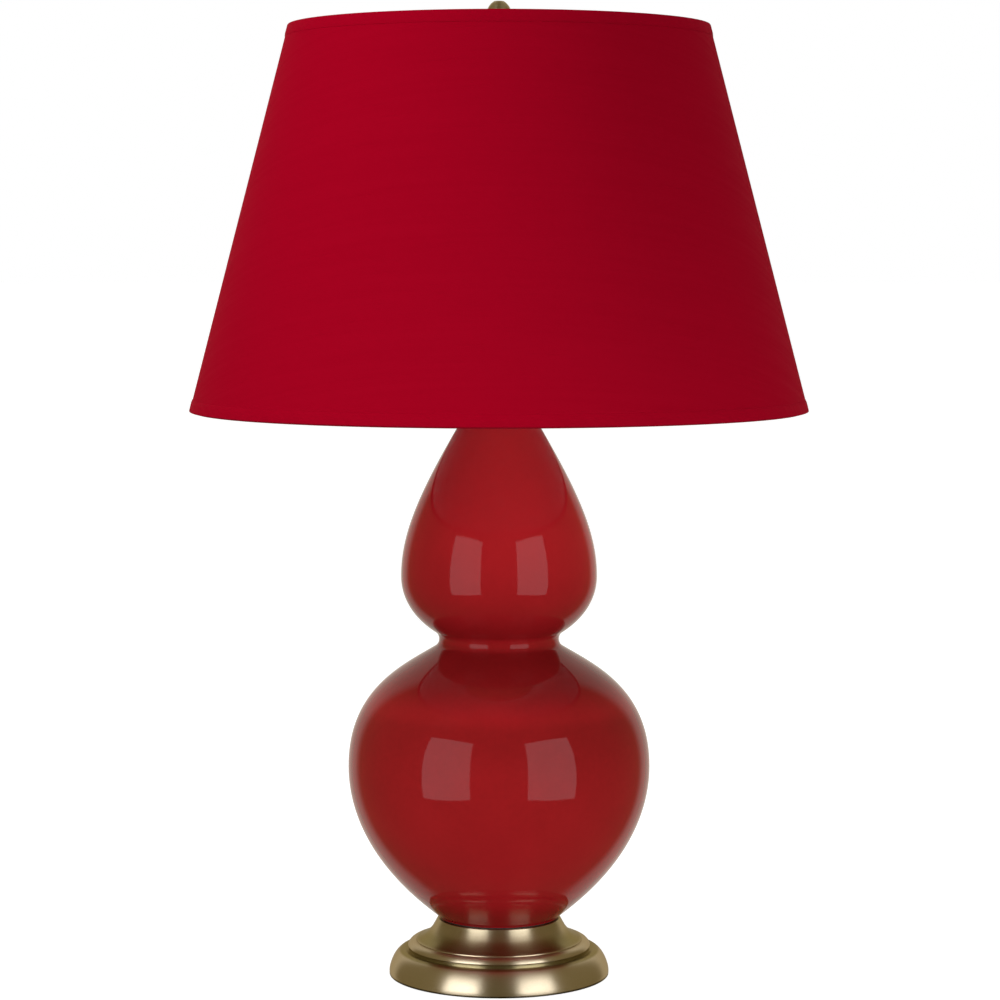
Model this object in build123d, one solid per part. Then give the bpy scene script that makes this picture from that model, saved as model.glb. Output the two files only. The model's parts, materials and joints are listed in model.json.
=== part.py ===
from build123d import *
from math import cos, hypot, radians, sin
import os

# A table lamp: a glazed double gourd body on a stepped brass foot, with a tapered drum shade.
# Frame: millimetres, +Z up, the origin at the middle of the felt's underside, where the lamp
# rests. -Y is the front, +Y the back, where the cord comes in. The harp stands in the X-Z plane.

# ---- Driving sizes -------------------------------------------------------------------------

# Clearances that several pieces share
slip = 0.10          # between two fixed pieces, one inside the other
running = 0.08       # round a pin that turns in its bore
loose = 0.30         # round a piece that lifts or slides off

# Foot: a spun brass shell over an iron weight, with felt below
felt_thickness = 3.0
felt_margin = 1.8            # from the felt's edge to the inside of the shell
lip_lift = 1.0               # from the table to the shell's lower edge
base_height = 47.0
base_wall = 1.5
base_rim_radius = 50.2
base_edge_radius = 0.8       # the rounding of the top rim
base_cove_radius = 54.6
base_cove_drop = 8.6         # from the top of the foot to the bottom of its straight collar
base_cove_bow = 0.08         # how deep the cove is, as a share of its chord
base_fillet_radius = 67.6
base_fillet_drop = 17.5
base_fillet_step = 0.8       # the small step where the cove meets the bead
base_bead_radius = 74.3
base_bead_drop = 22.9
base_bead_bow = 0.2          # how full the bead is, as a share of its chord
base_ledge_drop = 26.2       # the groove under the bead, which also seats the weight inside
base_groove_depth = 0.6
base_ledge_width = 1.1
base_lip_radius = 89.5
base_ovolo_reach = 9.3       # the pull of the ovolo's curve at its top
base_ovolo_rise = 3.6        # how far that pull points up
base_ovolo_fall = 4.0        # the pull at its lower end
base_lip_height = 3.0        # the straight edge below the ovolo
weight_radius = 76.0
weight_shoulder = 4.4        # the height of its bevelled shoulder
weight_seat_margin = 0.12
weight_pocket_radius = 15.0
weight_pocket_depth = 9.0
cord_channel_width = 10.0
cord_channel_height = 10.0

# Cord inlet at the back of the foot
bushing_height = 9.5         # the middle of the inlet above the table
bushing_bore_radius = 3.6
bushing_barrel_radius = 5.0
bushing_flange_radius = 6.2
bushing_flange_stand = 1.2   # from the lip's radius out to the flange's face
bushing_barb_radius = 5.6
bushing_barb_width = 3.0
bushing_barb_reach = 81.5    # from the lamp's axis to the barb's outer side

# Threaded rod that clamps the lamp together, and what is on it
rod_radius = 4.85
rod_bore_radius = 3.3
rod_end_height = 4.3
rod_hole_clearance = 0.35
nut_size = 8.0               # half the width across the flats
nut_height = 5.0
washer_radius = 13.0
washer_thickness = 1.5
lock_washer_radius = 8.6
lock_washer_thickness = 0.8
lock_washer_gap = 1.2

# Double gourd body, sizes of its outline
seat_gasket_thickness = 1.0
seat_gasket_radius = 46.5
seat_gasket_inner = 30.0
body_height = 422.0
body_wall = 6.5
body_floor_hole = 9.0
foot_radius = 49.0
foot_edge = 0.8
foot_flare = 48.0            # degrees from upright
foot_pull = 12.9
belly_radius = 122.3
belly_height = 124.0         # above the body's foot
belly_pull_down = 70.8
belly_pull_up = 62.0
shoulder_pull = 31.2
waist_radius = 48.5
waist_height = 227.5
waist_notch_radius = 7.45
waist_turn_down = 58.4       # degrees of the notch's arc below its middle
waist_turn_up = 57.1
skirt_pull = 21.7
upper_belly_radius = 79.2
upper_belly_height = 278.6
upper_pull_down = 17.1
upper_pull_up = 38.6
mouth_radius = 20.0
mouth_pull = 79.8
mouth_flare = 30.8

# Neck: the brass stack between the body and the lamp holder
neck_gasket_thickness = 1.0
cap_lip_clearance = 2.0
cap_lip_drop = 2.0
cap_lip_wall = 1.4
cap_edge_height = 1.6
vase_cap_height = 7.0
vase_cap_dish = 1.1          # how deep the cap's upper side is dished
cap_hub_radius = 12.4
check_ring_radius = 11.6
check_ring_height = 2.0
neck_length = 24.0
neck_radius = 8.6
neck_collar_radius = 10.6
neck_collar_height = 3.0
neck_nut_height = 4.5

# Lamp holder with a turn knob
holder_hub_radius = 8.2
holder_hub_height = 10.0
holder_cap_height = 24.0
holder_cap_wall = 0.8
holder_radius = 17.5
holder_shell_wall = 0.6
holder_height = 68.0
holder_lap = 7.0             # how far the shell reaches down into the cap
holder_bead = 0.9
liner_wall = 0.7
core_foot_radius = 9.0
core_foot_height = 3.0
core_neck_radius = 12.0
core_neck_height = 10.0
core_height = 27.0
core_gap = 0.4
set_screw_radius = 1.6
set_screw_height = 5.0       # above the holder's lower end
set_screw_stand = 1.6        # how far its head stands out of the hub
terminal_head_radius = 3.1
terminal_head_height = 1.6
terminal_shank_radius = 1.5
terminal_shank_length = 4.5
terminal_slot_width = 0.8
terminal_slot_depth = 0.8
thread_pitch = 3.6
thread_turns = 6
thread_depth = 0.9
screw_shell_wall = 0.5
screw_shell_floor_hole = 10.0
contact_thickness = 0.5
contact_foot_length = 3.2
contact_slope_length = 1.6
contact_tip_length = 3.8
centre_contact_width = 5.0
centre_contact_start = -6.5  # where its foot starts along X
centre_contact_rise = 2.4
ring_contact_width = 3.0
ring_contact_start = -4.4
ring_contact_rise = 1.6
ring_contact_reach = 6.4     # from the lamp's axis to its middle, along Y
switch_height = 31.0         # above the holder's lower end
stem_radius = 1.6
stem_depth = 11.0            # how far the stem reaches into the core
stem_hole_clearance = 1.2
knob_gap = 3.0
knob_radius = 5.6
knob_length = 15.0
knob_edge_radius = 1.1       # the rounding of the knob's end
knob_skirt_radius = 6.8
knob_skirt_length = 3.0
knob_flutes = 12
knob_flute_radius = 0.8
stem_in_knob = 10.0

# Bulb
bulb_cap_radius = 12.95
bulb_cap_wall = 0.5
bulb_cap_height = 21.0
bulb_button_height = 3.5
bulb_button_radius = 4.8
bulb_button_flat = 2.4       # the radius of its flat tip
bulb_insulator_radius = 10.5
bulb_insulator_height = 2.4
bulb_neck_radius = 13.6
bulb_radius = 33.4
bulb_length = 134.0
bulb_waist_length = 92.0     # from the button to the widest place
bulb_glass_wall = 0.8
bulb_neck_in_cap = 10.0
bulb_neck_pull = 26.0
bulb_flank_pull = 30.0

# Harp that carries the shade
saddle_thickness = 1.6
saddle_width = 14.0
saddle_corner_radius = 4.6
saddle_ear_width = 4.4
saddle_ear_height = 12.0
saddle_end = 3.2             # how far the shelf runs past the ear's outer face
harp_wire_radius = 1.75
harp_foot_half = 33.0
harp_half_width = 55.0
harp_height = 245.4          # from the saddle to the top of the boss
harp_leg = 48.0
harp_shoulder = 92.0
harp_haunch = 170.0
harp_crown_half = 24.0
harp_leg_bend = 45.0
harp_shoulder_bend = 60.0
harp_haunch_bend = 80.0
harp_crown_bend = 30.0
harp_boss_radius = 6.5
harp_boss_height = 3.5
sleeve_bore_radius = 3.6
sleeve_wall = 0.8
sleeve_height = 12.0
sleeve_flare = 0.8
sleeve_offset = 1.0          # from the leg's middle out to the sleeve's middle
stud_shank_radius = 2.5
stud_head_radius = 4.2
stud_head_height = 1.3
stud_plate_radius = 8.0
stud_plate_thickness = 1.5
stud_radius = 3.15
stud_length = 12.0

# Shade: a tapered drum on a wire frame
shade_top_radius = 168.0
shade_bottom_radius = 247.9
shade_height = 305.7
shade_recess = 10.2          # from the rim down to the underside of the spider's hub
fabric_thickness = 0.6
shade_liner_thickness = 0.8
glue_line = 0.05
frame_wire_radius = 1.6
hem_height = 9.2
hem_thickness = 0.5
hem_turn_in = 8.0            # how far the hem reaches up or down the inside
hub_radius = 11.0
hub_thickness = 1.8
spider_arms = 3
spider_bend_inset = 20.0     # from the ring in to where each arm turns up
spider_bend = 18.0

# Finial
finial_height = 28.2
finial_foot_radius = 6.6
finial_foot_height = 2.6
finial_stem_radius = 4.5
finial_stem_height = 8.5
finial_widest_radius = 9.3
finial_widest_height = 21.5
finial_top_radius = 3.6
finial_flare_pull = 4.2      # the pulls of the curve from the stem to the widest place
finial_crown_bow = 0.8
finial_socket_spare = 1.0

# ---- Levels above the table, worked out from the stack ------------------------------------

base_top = base_height
ledge_level = base_top - base_ledge_drop
weight_top = ledge_level - base_wall
pocket_top = felt_thickness + weight_pocket_depth
body_bottom = base_top + seat_gasket_thickness
body_top = body_bottom + body_height
cap_bottom = body_top + neck_gasket_thickness
cap_top = cap_bottom + vase_cap_height
neck_bottom = cap_top + check_ring_height
neck_top = neck_bottom + neck_length
saddle_bottom = neck_top + neck_nut_height
holder_bottom = saddle_bottom + saddle_thickness
holder_top = holder_bottom + holder_height
rod_top = holder_bottom + holder_hub_height - holder_cap_wall
cap_rim_level = holder_bottom + holder_cap_height
core_bottom = holder_bottom + holder_hub_height + holder_cap_wall
core_top = core_bottom + core_height
core_radius = holder_radius - holder_shell_wall - slip - liner_wall - core_gap
switch_level = holder_bottom + switch_height
set_screw_level = holder_bottom + set_screw_height
contact_level = core_top + centre_contact_rise + contact_thickness
bulb_bottom = contact_level + loose
bulb_cap_bottom = bulb_bottom + bulb_button_height
bulb_cap_top = bulb_cap_bottom + bulb_cap_height
harp_top = holder_bottom + harp_height
hub_level = harp_top + stud_plate_thickness
finial_bottom = hub_level + hub_thickness
shade_top = hub_level + shade_recess
shade_bottom = shade_top - shade_height
rod_hole_radius = rod_radius + rod_hole_clearance

UPRIGHT = (Align.CENTER, Align.CENTER, Align.MIN)
ROUND_PULL = 0.552           # the pull that makes a curve a quarter of an ellipse, as a share of it


# ---- Shapes that repeat --------------------------------------------------------------------

def turned(*outline):
    """A solid turned round the lamp's axis from (radius, height) points or curves."""
    if isinstance(outline[0], tuple):
        face = make_face(Polyline(*outline, close=True))
    else:
        face = make_face(Curve() + list(outline))
    return revolve(Plane.XZ * face, Axis.Z)


def rod(radius, bottom, top):
    """A plain cylinder on the lamp's axis."""
    return Pos(0, 0, bottom) * Cylinder(radius, top - bottom, align=UPRIGHT)


def collar(inner, outer, bottom, top):
    """A washer or short tube on the lamp's axis."""
    return rod(outer, bottom, top) - rod(inner, bottom, top)


def sideways(radius, start, end, height):
    """A cylinder along Y at a height, from one y to the other."""
    middle = (start + end) / 2
    return Pos(0, middle, height) * Rot(90, 0, 0) * Cylinder(radius, abs(end - start))


def hex_nut(bottom, height):
    """A hexagonal nut on the rod."""
    blank = extrude(Pos(0, 0, bottom) * RegularPolygon(nut_size, 6, major_radius=False), height)
    return blank - rod(rod_radius + slip, bottom, bottom + height)


def span(start, end):
    """The distance between two points."""
    return hypot(end[0] - start[0], end[1] - start[1])


def corner_sag(radius):
    """How far a quarter round stands out from its chord."""
    return radius * (1 - cos(radians(45)))


def swung(point, length, angle):
    """The point at a distance from another, at an angle in degrees from upright, outwards."""
    return (point[0] + length * sin(radians(angle)), point[1] + length * cos(radians(angle)))


# ---- Foot ----------------------------------------------------------------------------------

def base_outline(middle=0):
    """The foot's section: rim, cove, bead, groove and ovolo, closed down an upright line."""
    rim = (base_rim_radius, base_top - base_edge_radius)
    rim_top = (base_rim_radius - base_edge_radius, base_top)
    cove = (base_cove_radius, base_top - base_cove_drop)
    fillet = (base_fillet_radius, base_top - base_fillet_drop)
    step = (base_fillet_radius, base_top - base_fillet_drop - base_fillet_step)
    bead = (base_bead_radius, base_top - base_bead_drop)
    groove = (base_bead_radius - base_groove_depth, base_top - base_bead_drop - base_groove_depth)
    ledge_in = (base_bead_radius - base_groove_depth, ledge_level)
    ledge_out = (ledge_in[0] + base_ledge_width, ledge_level)
    lip = (base_lip_radius, lip_lift + base_lip_height)
    ovolo = Bezier(ledge_out, (ledge_out[0] + base_ovolo_reach, ledge_level + base_ovolo_rise),
                   (base_lip_radius, lip[1] + base_ovolo_fall), lip)
    return [
        Line((middle, base_top), rim_top),
        SagittaArc(rim_top, rim, corner_sag(base_edge_radius)),
        Line(rim, cove),
        SagittaArc(cove, fillet, -base_cove_bow * span(cove, fillet)),
        Line(fillet, step),
        SagittaArc(step, bead, base_bead_bow * span(step, bead)),
        Line(bead, groove),
        Line(groove, ledge_in),
        Line(ledge_in, ledge_out),
        ovolo,
        Line(lip, (base_lip_radius, lip_lift)),
        Line((base_lip_radius, lip_lift), (middle, lip_lift)),
        Line((middle, lip_lift), (middle, base_top)),
    ]


def base_solid():
    """The foot as one solid block, which the bushing's flange is fitted to."""
    return turned(*base_outline())


def base_shell():
    """The shell is the block less the same block moved in and down by the wall."""
    hollow = make_face(Curve() + base_outline(base_wall))
    shell = base_solid() - revolve(Plane.XZ * Pos(-base_wall, -base_wall, 0) * hollow, Axis.Z)
    shell -= rod(rod_hole_radius, 0, base_top)
    return shell - sideways(bushing_barrel_radius + slip, 0, 2 * base_lip_radius, bushing_height)


def felt_pad():
    return rod(base_lip_radius - base_wall - felt_margin, 0, felt_thickness)


def base_weight():
    seat = base_bead_radius - base_groove_depth + base_ledge_width - base_wall - weight_seat_margin
    casting = turned((0, felt_thickness), (weight_radius, felt_thickness),
                     (weight_radius, weight_top - weight_shoulder), (seat, weight_top), (0, weight_top))
    casting -= rod(weight_pocket_radius, felt_thickness, pocket_top)
    casting -= rod(rod_hole_radius, felt_thickness, weight_top)
    channel = Box(cord_channel_width, 2 * weight_radius, cord_channel_height,
                  align=(Align.CENTER, Align.MIN, Align.MIN))
    return casting - Pos(0, 0, felt_thickness) * channel


def cord_bushing():
    face = base_lip_radius + bushing_flange_stand
    barb_start = bushing_barb_reach - bushing_barb_width
    flange = sideways(bushing_flange_radius, bushing_barb_reach, face, bushing_height) - base_solid()
    barrel = sideways(bushing_barrel_radius, barb_start, face, bushing_height)
    barb = sideways(bushing_barb_radius, barb_start, bushing_barb_reach, bushing_height)
    return flange + barrel + barb - sideways(bushing_bore_radius, barb_start, face, bushing_height)


# ---- Rod and its fasteners -----------------------------------------------------------------

def threaded_rod():
    return collar(rod_bore_radius, rod_radius, rod_end_height, rod_top)


def rod_washer():
    return collar(rod_hole_radius, washer_radius, pocket_top - washer_thickness, pocket_top)


def rod_lock_washer():
    top = pocket_top - washer_thickness
    ring = collar(rod_hole_radius, lock_washer_radius, top - lock_washer_thickness, top)
    gap = Box(2 * lock_washer_radius, lock_washer_gap, 4 * lock_washer_thickness)
    return ring - Pos(lock_washer_radius, 0, top) * gap


def rod_nut():
    top = pocket_top - washer_thickness - lock_washer_thickness
    return hex_nut(top - nut_height, nut_height)


# ---- Double gourd body ---------------------------------------------------------------------

def gourd_curves(inset):
    """The body's side from foot to mouth, as curves; inset moves the line inwards."""
    foot = (foot_radius - inset, body_bottom + foot_edge + inset)
    belly = (belly_radius - inset, body_bottom + belly_height)
    notch = (waist_radius + waist_notch_radius, body_bottom + waist_height)
    notch_radius = waist_notch_radius + inset
    down = radians(waist_turn_down)
    up = radians(waist_turn_up)
    shoulder = (notch[0] - notch_radius * cos(down), notch[1] - notch_radius * sin(down))
    skirt = (notch[0] - notch_radius * cos(up), notch[1] + notch_radius * sin(up))
    upper = (upper_belly_radius - inset, body_bottom + upper_belly_height)
    mouth = (mouth_radius - inset, body_top)
    return [
        Bezier(foot, swung(foot, foot_pull, foot_flare),
               (belly[0], belly[1] - belly_pull_down), belly),
        Bezier(belly, (belly[0], belly[1] + belly_pull_up),
               swung(shoulder, shoulder_pull, 180 - waist_turn_down), shoulder),
        ThreePointArc(shoulder, (waist_radius - inset, notch[1]), skirt),
        Bezier(skirt, swung(skirt, skirt_pull, waist_turn_up),
               (upper[0], upper[1] - upper_pull_down), upper),
        Bezier(upper, (upper[0], upper[1] + upper_pull_up),
               swung(mouth, mouth_pull, 180 - mouth_flare), mouth),
    ]


def ceramic_body():
    foot = (foot_radius, body_bottom + foot_edge)
    tread = (foot_radius - foot_edge, body_bottom)
    outside = turned(
        Line((0, body_bottom), tread), SagittaArc(tread, foot, -corner_sag(foot_edge)),
        *gourd_curves(0),
        Line((mouth_radius, body_top), (0, body_top)), Line((0, body_top), (0, body_bottom)))
    floor = body_bottom + foot_edge + body_wall
    inside = turned(
        Line((0, floor), (foot_radius - body_wall, floor)),
        *gourd_curves(body_wall),
        Line((mouth_radius - body_wall, body_top), (0, body_top)), Line((0, body_top), (0, floor)))
    return outside - inside - rod(body_floor_hole, body_bottom, floor)


def seat_gasket():
    return collar(seat_gasket_inner, seat_gasket_radius, base_top, body_bottom)


def neck_gasket():
    return collar(mouth_radius - body_wall, mouth_radius, body_top, cap_bottom)


# ---- Neck ----------------------------------------------------------------------------------

def vase_cap():
    lip_in = mouth_radius + cap_lip_clearance
    lip_out = lip_in + cap_lip_wall
    edge = (lip_out, cap_bottom + cap_edge_height)
    hub = (cap_hub_radius, cap_top)
    return turned(
        Line((rod_hole_radius, cap_bottom), (lip_in, cap_bottom)),
        Line((lip_in, cap_bottom), (lip_in, cap_bottom - cap_lip_drop)),
        Line((lip_in, cap_bottom - cap_lip_drop), (lip_out, cap_bottom - cap_lip_drop)),
        Line((lip_out, cap_bottom - cap_lip_drop), edge),
        SagittaArc(edge, hub, -vase_cap_dish),
        Line(hub, (rod_hole_radius, cap_top)),
        Line((rod_hole_radius, cap_top), (rod_hole_radius, cap_bottom)))


def check_ring():
    return collar(rod_hole_radius, check_ring_radius, cap_top, neck_bottom)


def neck_tube():
    low = neck_bottom + neck_collar_height
    high = neck_top - neck_collar_height
    step = neck_collar_radius - neck_radius
    return turned(
        (rod_hole_radius, neck_bottom), (neck_collar_radius, neck_bottom), (neck_collar_radius, low),
        (neck_radius, low + step), (neck_radius, high - step), (neck_collar_radius, high),
        (neck_collar_radius, neck_top), (rod_hole_radius, neck_top))


def neck_nut():
    return hex_nut(neck_top, neck_nut_height)


def ear_face():
    """How far from the lamp's axis the inner face of the saddle's ear stands."""
    return harp_foot_half + harp_wire_radius + loose


def harp_saddle():
    half = ear_face() + saddle_thickness + saddle_end
    shelf = Pos(0, 0, saddle_bottom) * Box(2 * half, saddle_width, saddle_thickness, align=UPRIGHT)
    saddle = fillet(shelf.edges().filter_by(Axis.Z), saddle_corner_radius)
    for side in (-1, 1):
        ear = Box(saddle_thickness, saddle_ear_width, saddle_ear_height, align=UPRIGHT)
        saddle += Pos(side * (ear_face() + saddle_thickness / 2), 0, holder_bottom) * ear
    return saddle - rod(rod_hole_radius, saddle_bottom, holder_bottom)


# ---- Lamp holder ---------------------------------------------------------------------------

def socket_cap():
    """The lower cup of the holder, screwed to the rod by its hub."""
    wall = holder_cap_wall
    outer = holder_radius + slip + wall
    hub_top = holder_bottom + holder_hub_height
    bowl = holder_radius + slip
    low = hub_top + wall
    flare = cap_rim_level - holder_lap
    cup = turned((0, holder_bottom), (holder_hub_radius, holder_bottom), (holder_hub_radius, hub_top),
                 (core_foot_radius + 2 * wall, hub_top), (outer, flare - wall), (outer, cap_rim_level),
                 (bowl, cap_rim_level), (bowl, flare), (core_foot_radius + wall, low), (0, low))
    cup -= rod(rod_radius + slip, holder_bottom, rod_top)
    cup -= rod(rod_bore_radius, holder_bottom, low)
    return cup - sideways(set_screw_radius + slip, 0, 2 * holder_hub_radius, set_screw_level)


def cap_set_screw():
    """The screw that pinches the rod, at the back of the cup's hub."""
    return sideways(set_screw_radius, rod_radius + 2 * slip, holder_hub_radius + set_screw_stand,
                    set_screw_level)


def socket_shell():
    outer = holder_radius
    inner = outer - holder_shell_wall
    low = cap_rim_level - holder_lap + slip
    bead = holder_top - 2 * holder_bead
    shell = turned((inner, low), (outer, low), (outer, bead), (outer + holder_bead, bead + holder_bead),
                   (outer, holder_top), (inner, holder_top))
    return shell - sideways(stem_radius + stem_hole_clearance, -2 * outer, 0, switch_level)


def socket_liner():
    outer = holder_radius - holder_shell_wall - slip
    low = cap_rim_level - holder_lap + slip
    tube = collar(outer - liner_wall, outer, low, holder_top - 2 * holder_bead)
    return tube - sideways(stem_radius + stem_hole_clearance, -2 * outer, 0, switch_level)


def terminal_level():
    return core_bottom + core_foot_height + core_neck_height / 2


def socket_core():
    """The moulded body that carries the contacts, the switch and the terminals."""
    foot_top = core_bottom + core_foot_height
    neck_end = foot_top + core_neck_height
    core = turned((0, core_bottom), (core_foot_radius, core_bottom), (core_foot_radius, foot_top),
                  (core_neck_radius, foot_top), (core_neck_radius, neck_end), (core_radius, neck_end),
                  (core_radius, core_top), (0, core_top))
    core -= sideways(stem_radius + running, -core_radius - slip, stem_depth - core_radius, switch_level)
    for side in (-1, 1):
        flat = core_neck_radius - terminal_head_height
        pocket = Box(2 * core_neck_radius, 3 * terminal_head_radius, core_neck_height)
        core -= Pos(side * (flat + core_neck_radius), 0, terminal_level()) * pocket
        bore = Cylinder(terminal_shank_radius + slip, 2 * terminal_shank_length)
        core -= Pos(side * flat, 0, terminal_level()) * Rot(0, 90, 0) * bore
    return core


def terminal_screws():
    head = rod(terminal_head_radius, 0, terminal_head_height)
    shank = rod(terminal_shank_radius, -terminal_shank_length, 0)
    slot = Box(terminal_slot_width, 3 * terminal_head_radius, 2 * terminal_slot_depth)
    screw = head + shank - Pos(0, 0, terminal_head_height) * slot
    flat = core_neck_radius - terminal_head_height
    return Compound([Pos(side * flat, 0, terminal_level()) * Rot(0, side * 90, 0) * screw
                     for side in (-1, 1)])


def thread_points(crest, depth, bottom, pitch, turns):
    """The zigzag of a rolled thread, seen in section, from the bottom up."""
    points = []
    for turn in range(turns):
        low = bottom + turn * pitch
        points += [(crest - depth, low), (crest, low + pitch / 4), (crest, low + pitch / 2)]
        points += [(crest - depth, low + pitch * 3 / 4)]
    return points + [(crest - depth, bottom + turns * pitch)]


def socket_screw_shell():
    """The rolled shell that the bulb screws into, with its floor on the core."""
    bore = bulb_cap_radius + loose
    floor = core_top + screw_shell_wall
    inner = thread_points(bore + thread_depth, thread_depth, floor + thread_pitch / 4,
                          thread_pitch, thread_turns)
    outer = [(radius + screw_shell_wall, height) for radius, height in reversed(inner)]
    return turned((screw_shell_floor_hole, core_top), (screw_shell_floor_hole, floor), (bore, floor),
                  *inner, *outer, (bore + screw_shell_wall, core_top))


def bent_strip(width, start, rise):
    """A springy contact along X: a foot on the core, a slope and a raised tip."""
    thick = contact_thickness
    foot_end = start + contact_foot_length
    tip_start = foot_end + contact_slope_length
    tip_end = tip_start + contact_tip_length
    tip = core_top + rise
    section = make_face(Polyline(
        (start, core_top), (foot_end, core_top), (tip_start, tip), (tip_end, tip),
        (tip_end, tip + thick), (tip_start - thick / 2, tip + thick),
        (foot_end - thick / 2, core_top + thick), (start, core_top + thick), close=True))
    return extrude(Plane.XZ * section, width / 2, both=True)


def centre_contact():
    return bent_strip(centre_contact_width, centre_contact_start, centre_contact_rise)


def ring_contact():
    """The second contact of a three-way holder, beside the middle one."""
    strip = bent_strip(ring_contact_width, ring_contact_start, ring_contact_rise)
    return Pos(0, ring_contact_reach, 0) * strip


def switch_stem():
    tip = core_radius - stem_depth + running
    return sideways(stem_radius, -tip, -knob_start() - stem_in_knob, switch_level)


def knob_start():
    return holder_radius + knob_gap


def switch_knob():
    start = knob_start()
    end = start + knob_length
    knob = sideways(knob_radius, -start, -end, switch_level)
    knob = fillet(knob.faces().sort_by(Axis.Y)[0].edges(), knob_edge_radius)
    knob += sideways(knob_skirt_radius, -start, -start - knob_skirt_length, switch_level)
    for flute in range(knob_flutes):
        angle = radians(360 * flute / knob_flutes)
        place = Pos(knob_radius * cos(angle), 0, knob_radius * sin(angle))
        knob -= place * sideways(knob_flute_radius, -start - knob_skirt_length, -end - knob_radius,
                                 switch_level)
    return knob - sideways(stem_radius + slip / 2, 0, -start - stem_in_knob, switch_level)


# ---- Bulb ----------------------------------------------------------------------------------

def bulb_cap():
    outer = thread_points(bulb_cap_radius, thread_depth, bulb_cap_bottom + thread_pitch / 4,
                          thread_pitch, thread_turns - 1)
    bore = bulb_cap_radius - thread_depth - bulb_cap_wall
    hole = bulb_insulator_radius - bulb_cap_wall
    return turned((hole, bulb_cap_bottom), (bulb_insulator_radius, bulb_cap_bottom), *outer,
                  (bulb_cap_radius - thread_depth, bulb_cap_top), (bore, bulb_cap_top),
                  (bore, bulb_cap_bottom + thread_pitch), (hole, bulb_cap_bottom + bulb_cap_wall))


def bulb_insulator():
    top = bulb_cap_bottom
    low = top - bulb_insulator_height
    rim = bulb_insulator_radius - bulb_cap_wall
    return turned((0, low), (bulb_button_radius, low), (rim, top), (0, top))


def bulb_button():
    top = bulb_cap_bottom - bulb_insulator_height
    return turned((0, top), (bulb_button_radius, top), (bulb_button_flat, bulb_bottom), (0, bulb_bottom))


def bulb_curves(inset):
    """The side of the glass from its neck in the cap to its crown."""
    neck_in_cap = bulb_cap_radius - thread_depth - bulb_cap_wall - slip - inset
    start = (neck_in_cap, bulb_cap_top - bulb_neck_in_cap)
    lip = (neck_in_cap, bulb_cap_top + slip)
    neck = (bulb_neck_radius - inset, bulb_cap_top + slip + 2 * bulb_glass_wall)
    widest = (bulb_radius - inset, bulb_bottom + bulb_waist_length)
    crown = (0, bulb_bottom + bulb_length - inset)
    dome = crown[1] - widest[1]
    return [
        Line(start, lip),
        Line(lip, neck),
        Bezier(neck, (neck[0], neck[1] + bulb_neck_pull), (widest[0], widest[1] - bulb_flank_pull), widest),
        Bezier(widest, (widest[0], widest[1] + dome * ROUND_PULL),
               (widest[0] * ROUND_PULL, crown[1]), crown),
    ]


def bulb_glass():
    def side(inset):
        curves = bulb_curves(inset)
        low = bulb_cap_top - bulb_neck_in_cap
        start = curves[0] @ 0
        end = curves[-1] @ 1
        return turned(*curves, Line(end, (0, low)), Line((0, low), start))
    return side(0) - side(bulb_glass_wall)


# ---- Harp ----------------------------------------------------------------------------------

def harp_loop():
    """The sprung wire loop, with the boss at its top that the stud turns in."""
    crown = harp_top - harp_boss_height / 2
    right = [(harp_foot_half, holder_bottom), (harp_foot_half, holder_bottom + harp_leg),
             (harp_half_width, holder_bottom + harp_shoulder),
             (harp_half_width, holder_bottom + harp_haunch), (harp_crown_half, crown)]
    left = [(-x, z) for x, z in reversed(right)]
    bends = [harp_leg_bend, harp_shoulder_bend, harp_haunch_bend, harp_crown_bend]
    line = FilletPolyline(*[(x, 0, z) for x, z in right + left], radius=bends + bends[::-1])
    loop = sweep(Plane(line @ 0, z_dir=line % 0) * Circle(harp_wire_radius), line)
    loop += rod(harp_boss_radius, harp_top - harp_boss_height, harp_top)
    bore_depth = 2 * harp_boss_height
    return loop - rod(stud_shank_radius + running, harp_top - bore_depth, harp_top)


def harp_sleeve(side):
    """The sleeve that locks a leg of the harp to its ear, resting on the saddle's shelf."""
    inner = sleeve_bore_radius
    outer = inner + sleeve_wall
    low = holder_bottom
    top = holder_bottom + sleeve_height
    tube = turned((inner, low), (outer, low), (outer, top - 2 * sleeve_flare),
                  (outer + sleeve_flare, top), (inner, top))
    return Pos(side * (harp_foot_half + sleeve_offset), 0, 0) * tube


def harp_stud():
    """The stud: a head under the harp's boss, a plate on it and the shank that takes the finial."""
    low = harp_top - harp_boss_height - slip
    end = hub_level + stud_length
    return turned((0, low - stud_head_height), (stud_head_radius, low - stud_head_height),
                  (stud_head_radius, low), (stud_shank_radius, low), (stud_shank_radius, harp_top),
                  (stud_plate_radius, harp_top), (stud_plate_radius, hub_level),
                  (stud_radius, hub_level), (stud_radius, end), (0, end))


# ---- Shade ---------------------------------------------------------------------------------

def wall_point(along, inward, from_top=False):
    """A place on the shade's section: a distance along its slope from an edge, and inwards."""
    rise = shade_height
    run = shade_bottom_radius - shade_top_radius
    slope = hypot(rise, run)
    up = (-run / slope, rise / slope)
    into = (-rise / slope, -run / slope)
    if from_top:
        start = (shade_top_radius, shade_top)
        up = (-up[0], -up[1])
    else:
        start = (shade_bottom_radius, shade_bottom)
    return (start[0] + along * up[0] + inward * into[0], start[1] + along * up[1] + inward * into[1])


def cone_wall(outer_inset, inner_inset):
    """One layer of the shade's wall, between its two edges."""
    return turned(wall_point(0, outer_inset), wall_point(0, outer_inset, True),
                  wall_point(0, inner_inset, True), wall_point(0, inner_inset))


def liner_inset():
    return fabric_thickness + glue_line + shade_liner_thickness


def ring_centre(from_top):
    """The middle of the frame's wire, in the fold of the hem."""
    return wall_point(frame_wire_radius, liner_inset() + glue_line + frame_wire_radius, from_top)


def shade_fabric():
    return cone_wall(0, fabric_thickness)


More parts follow.
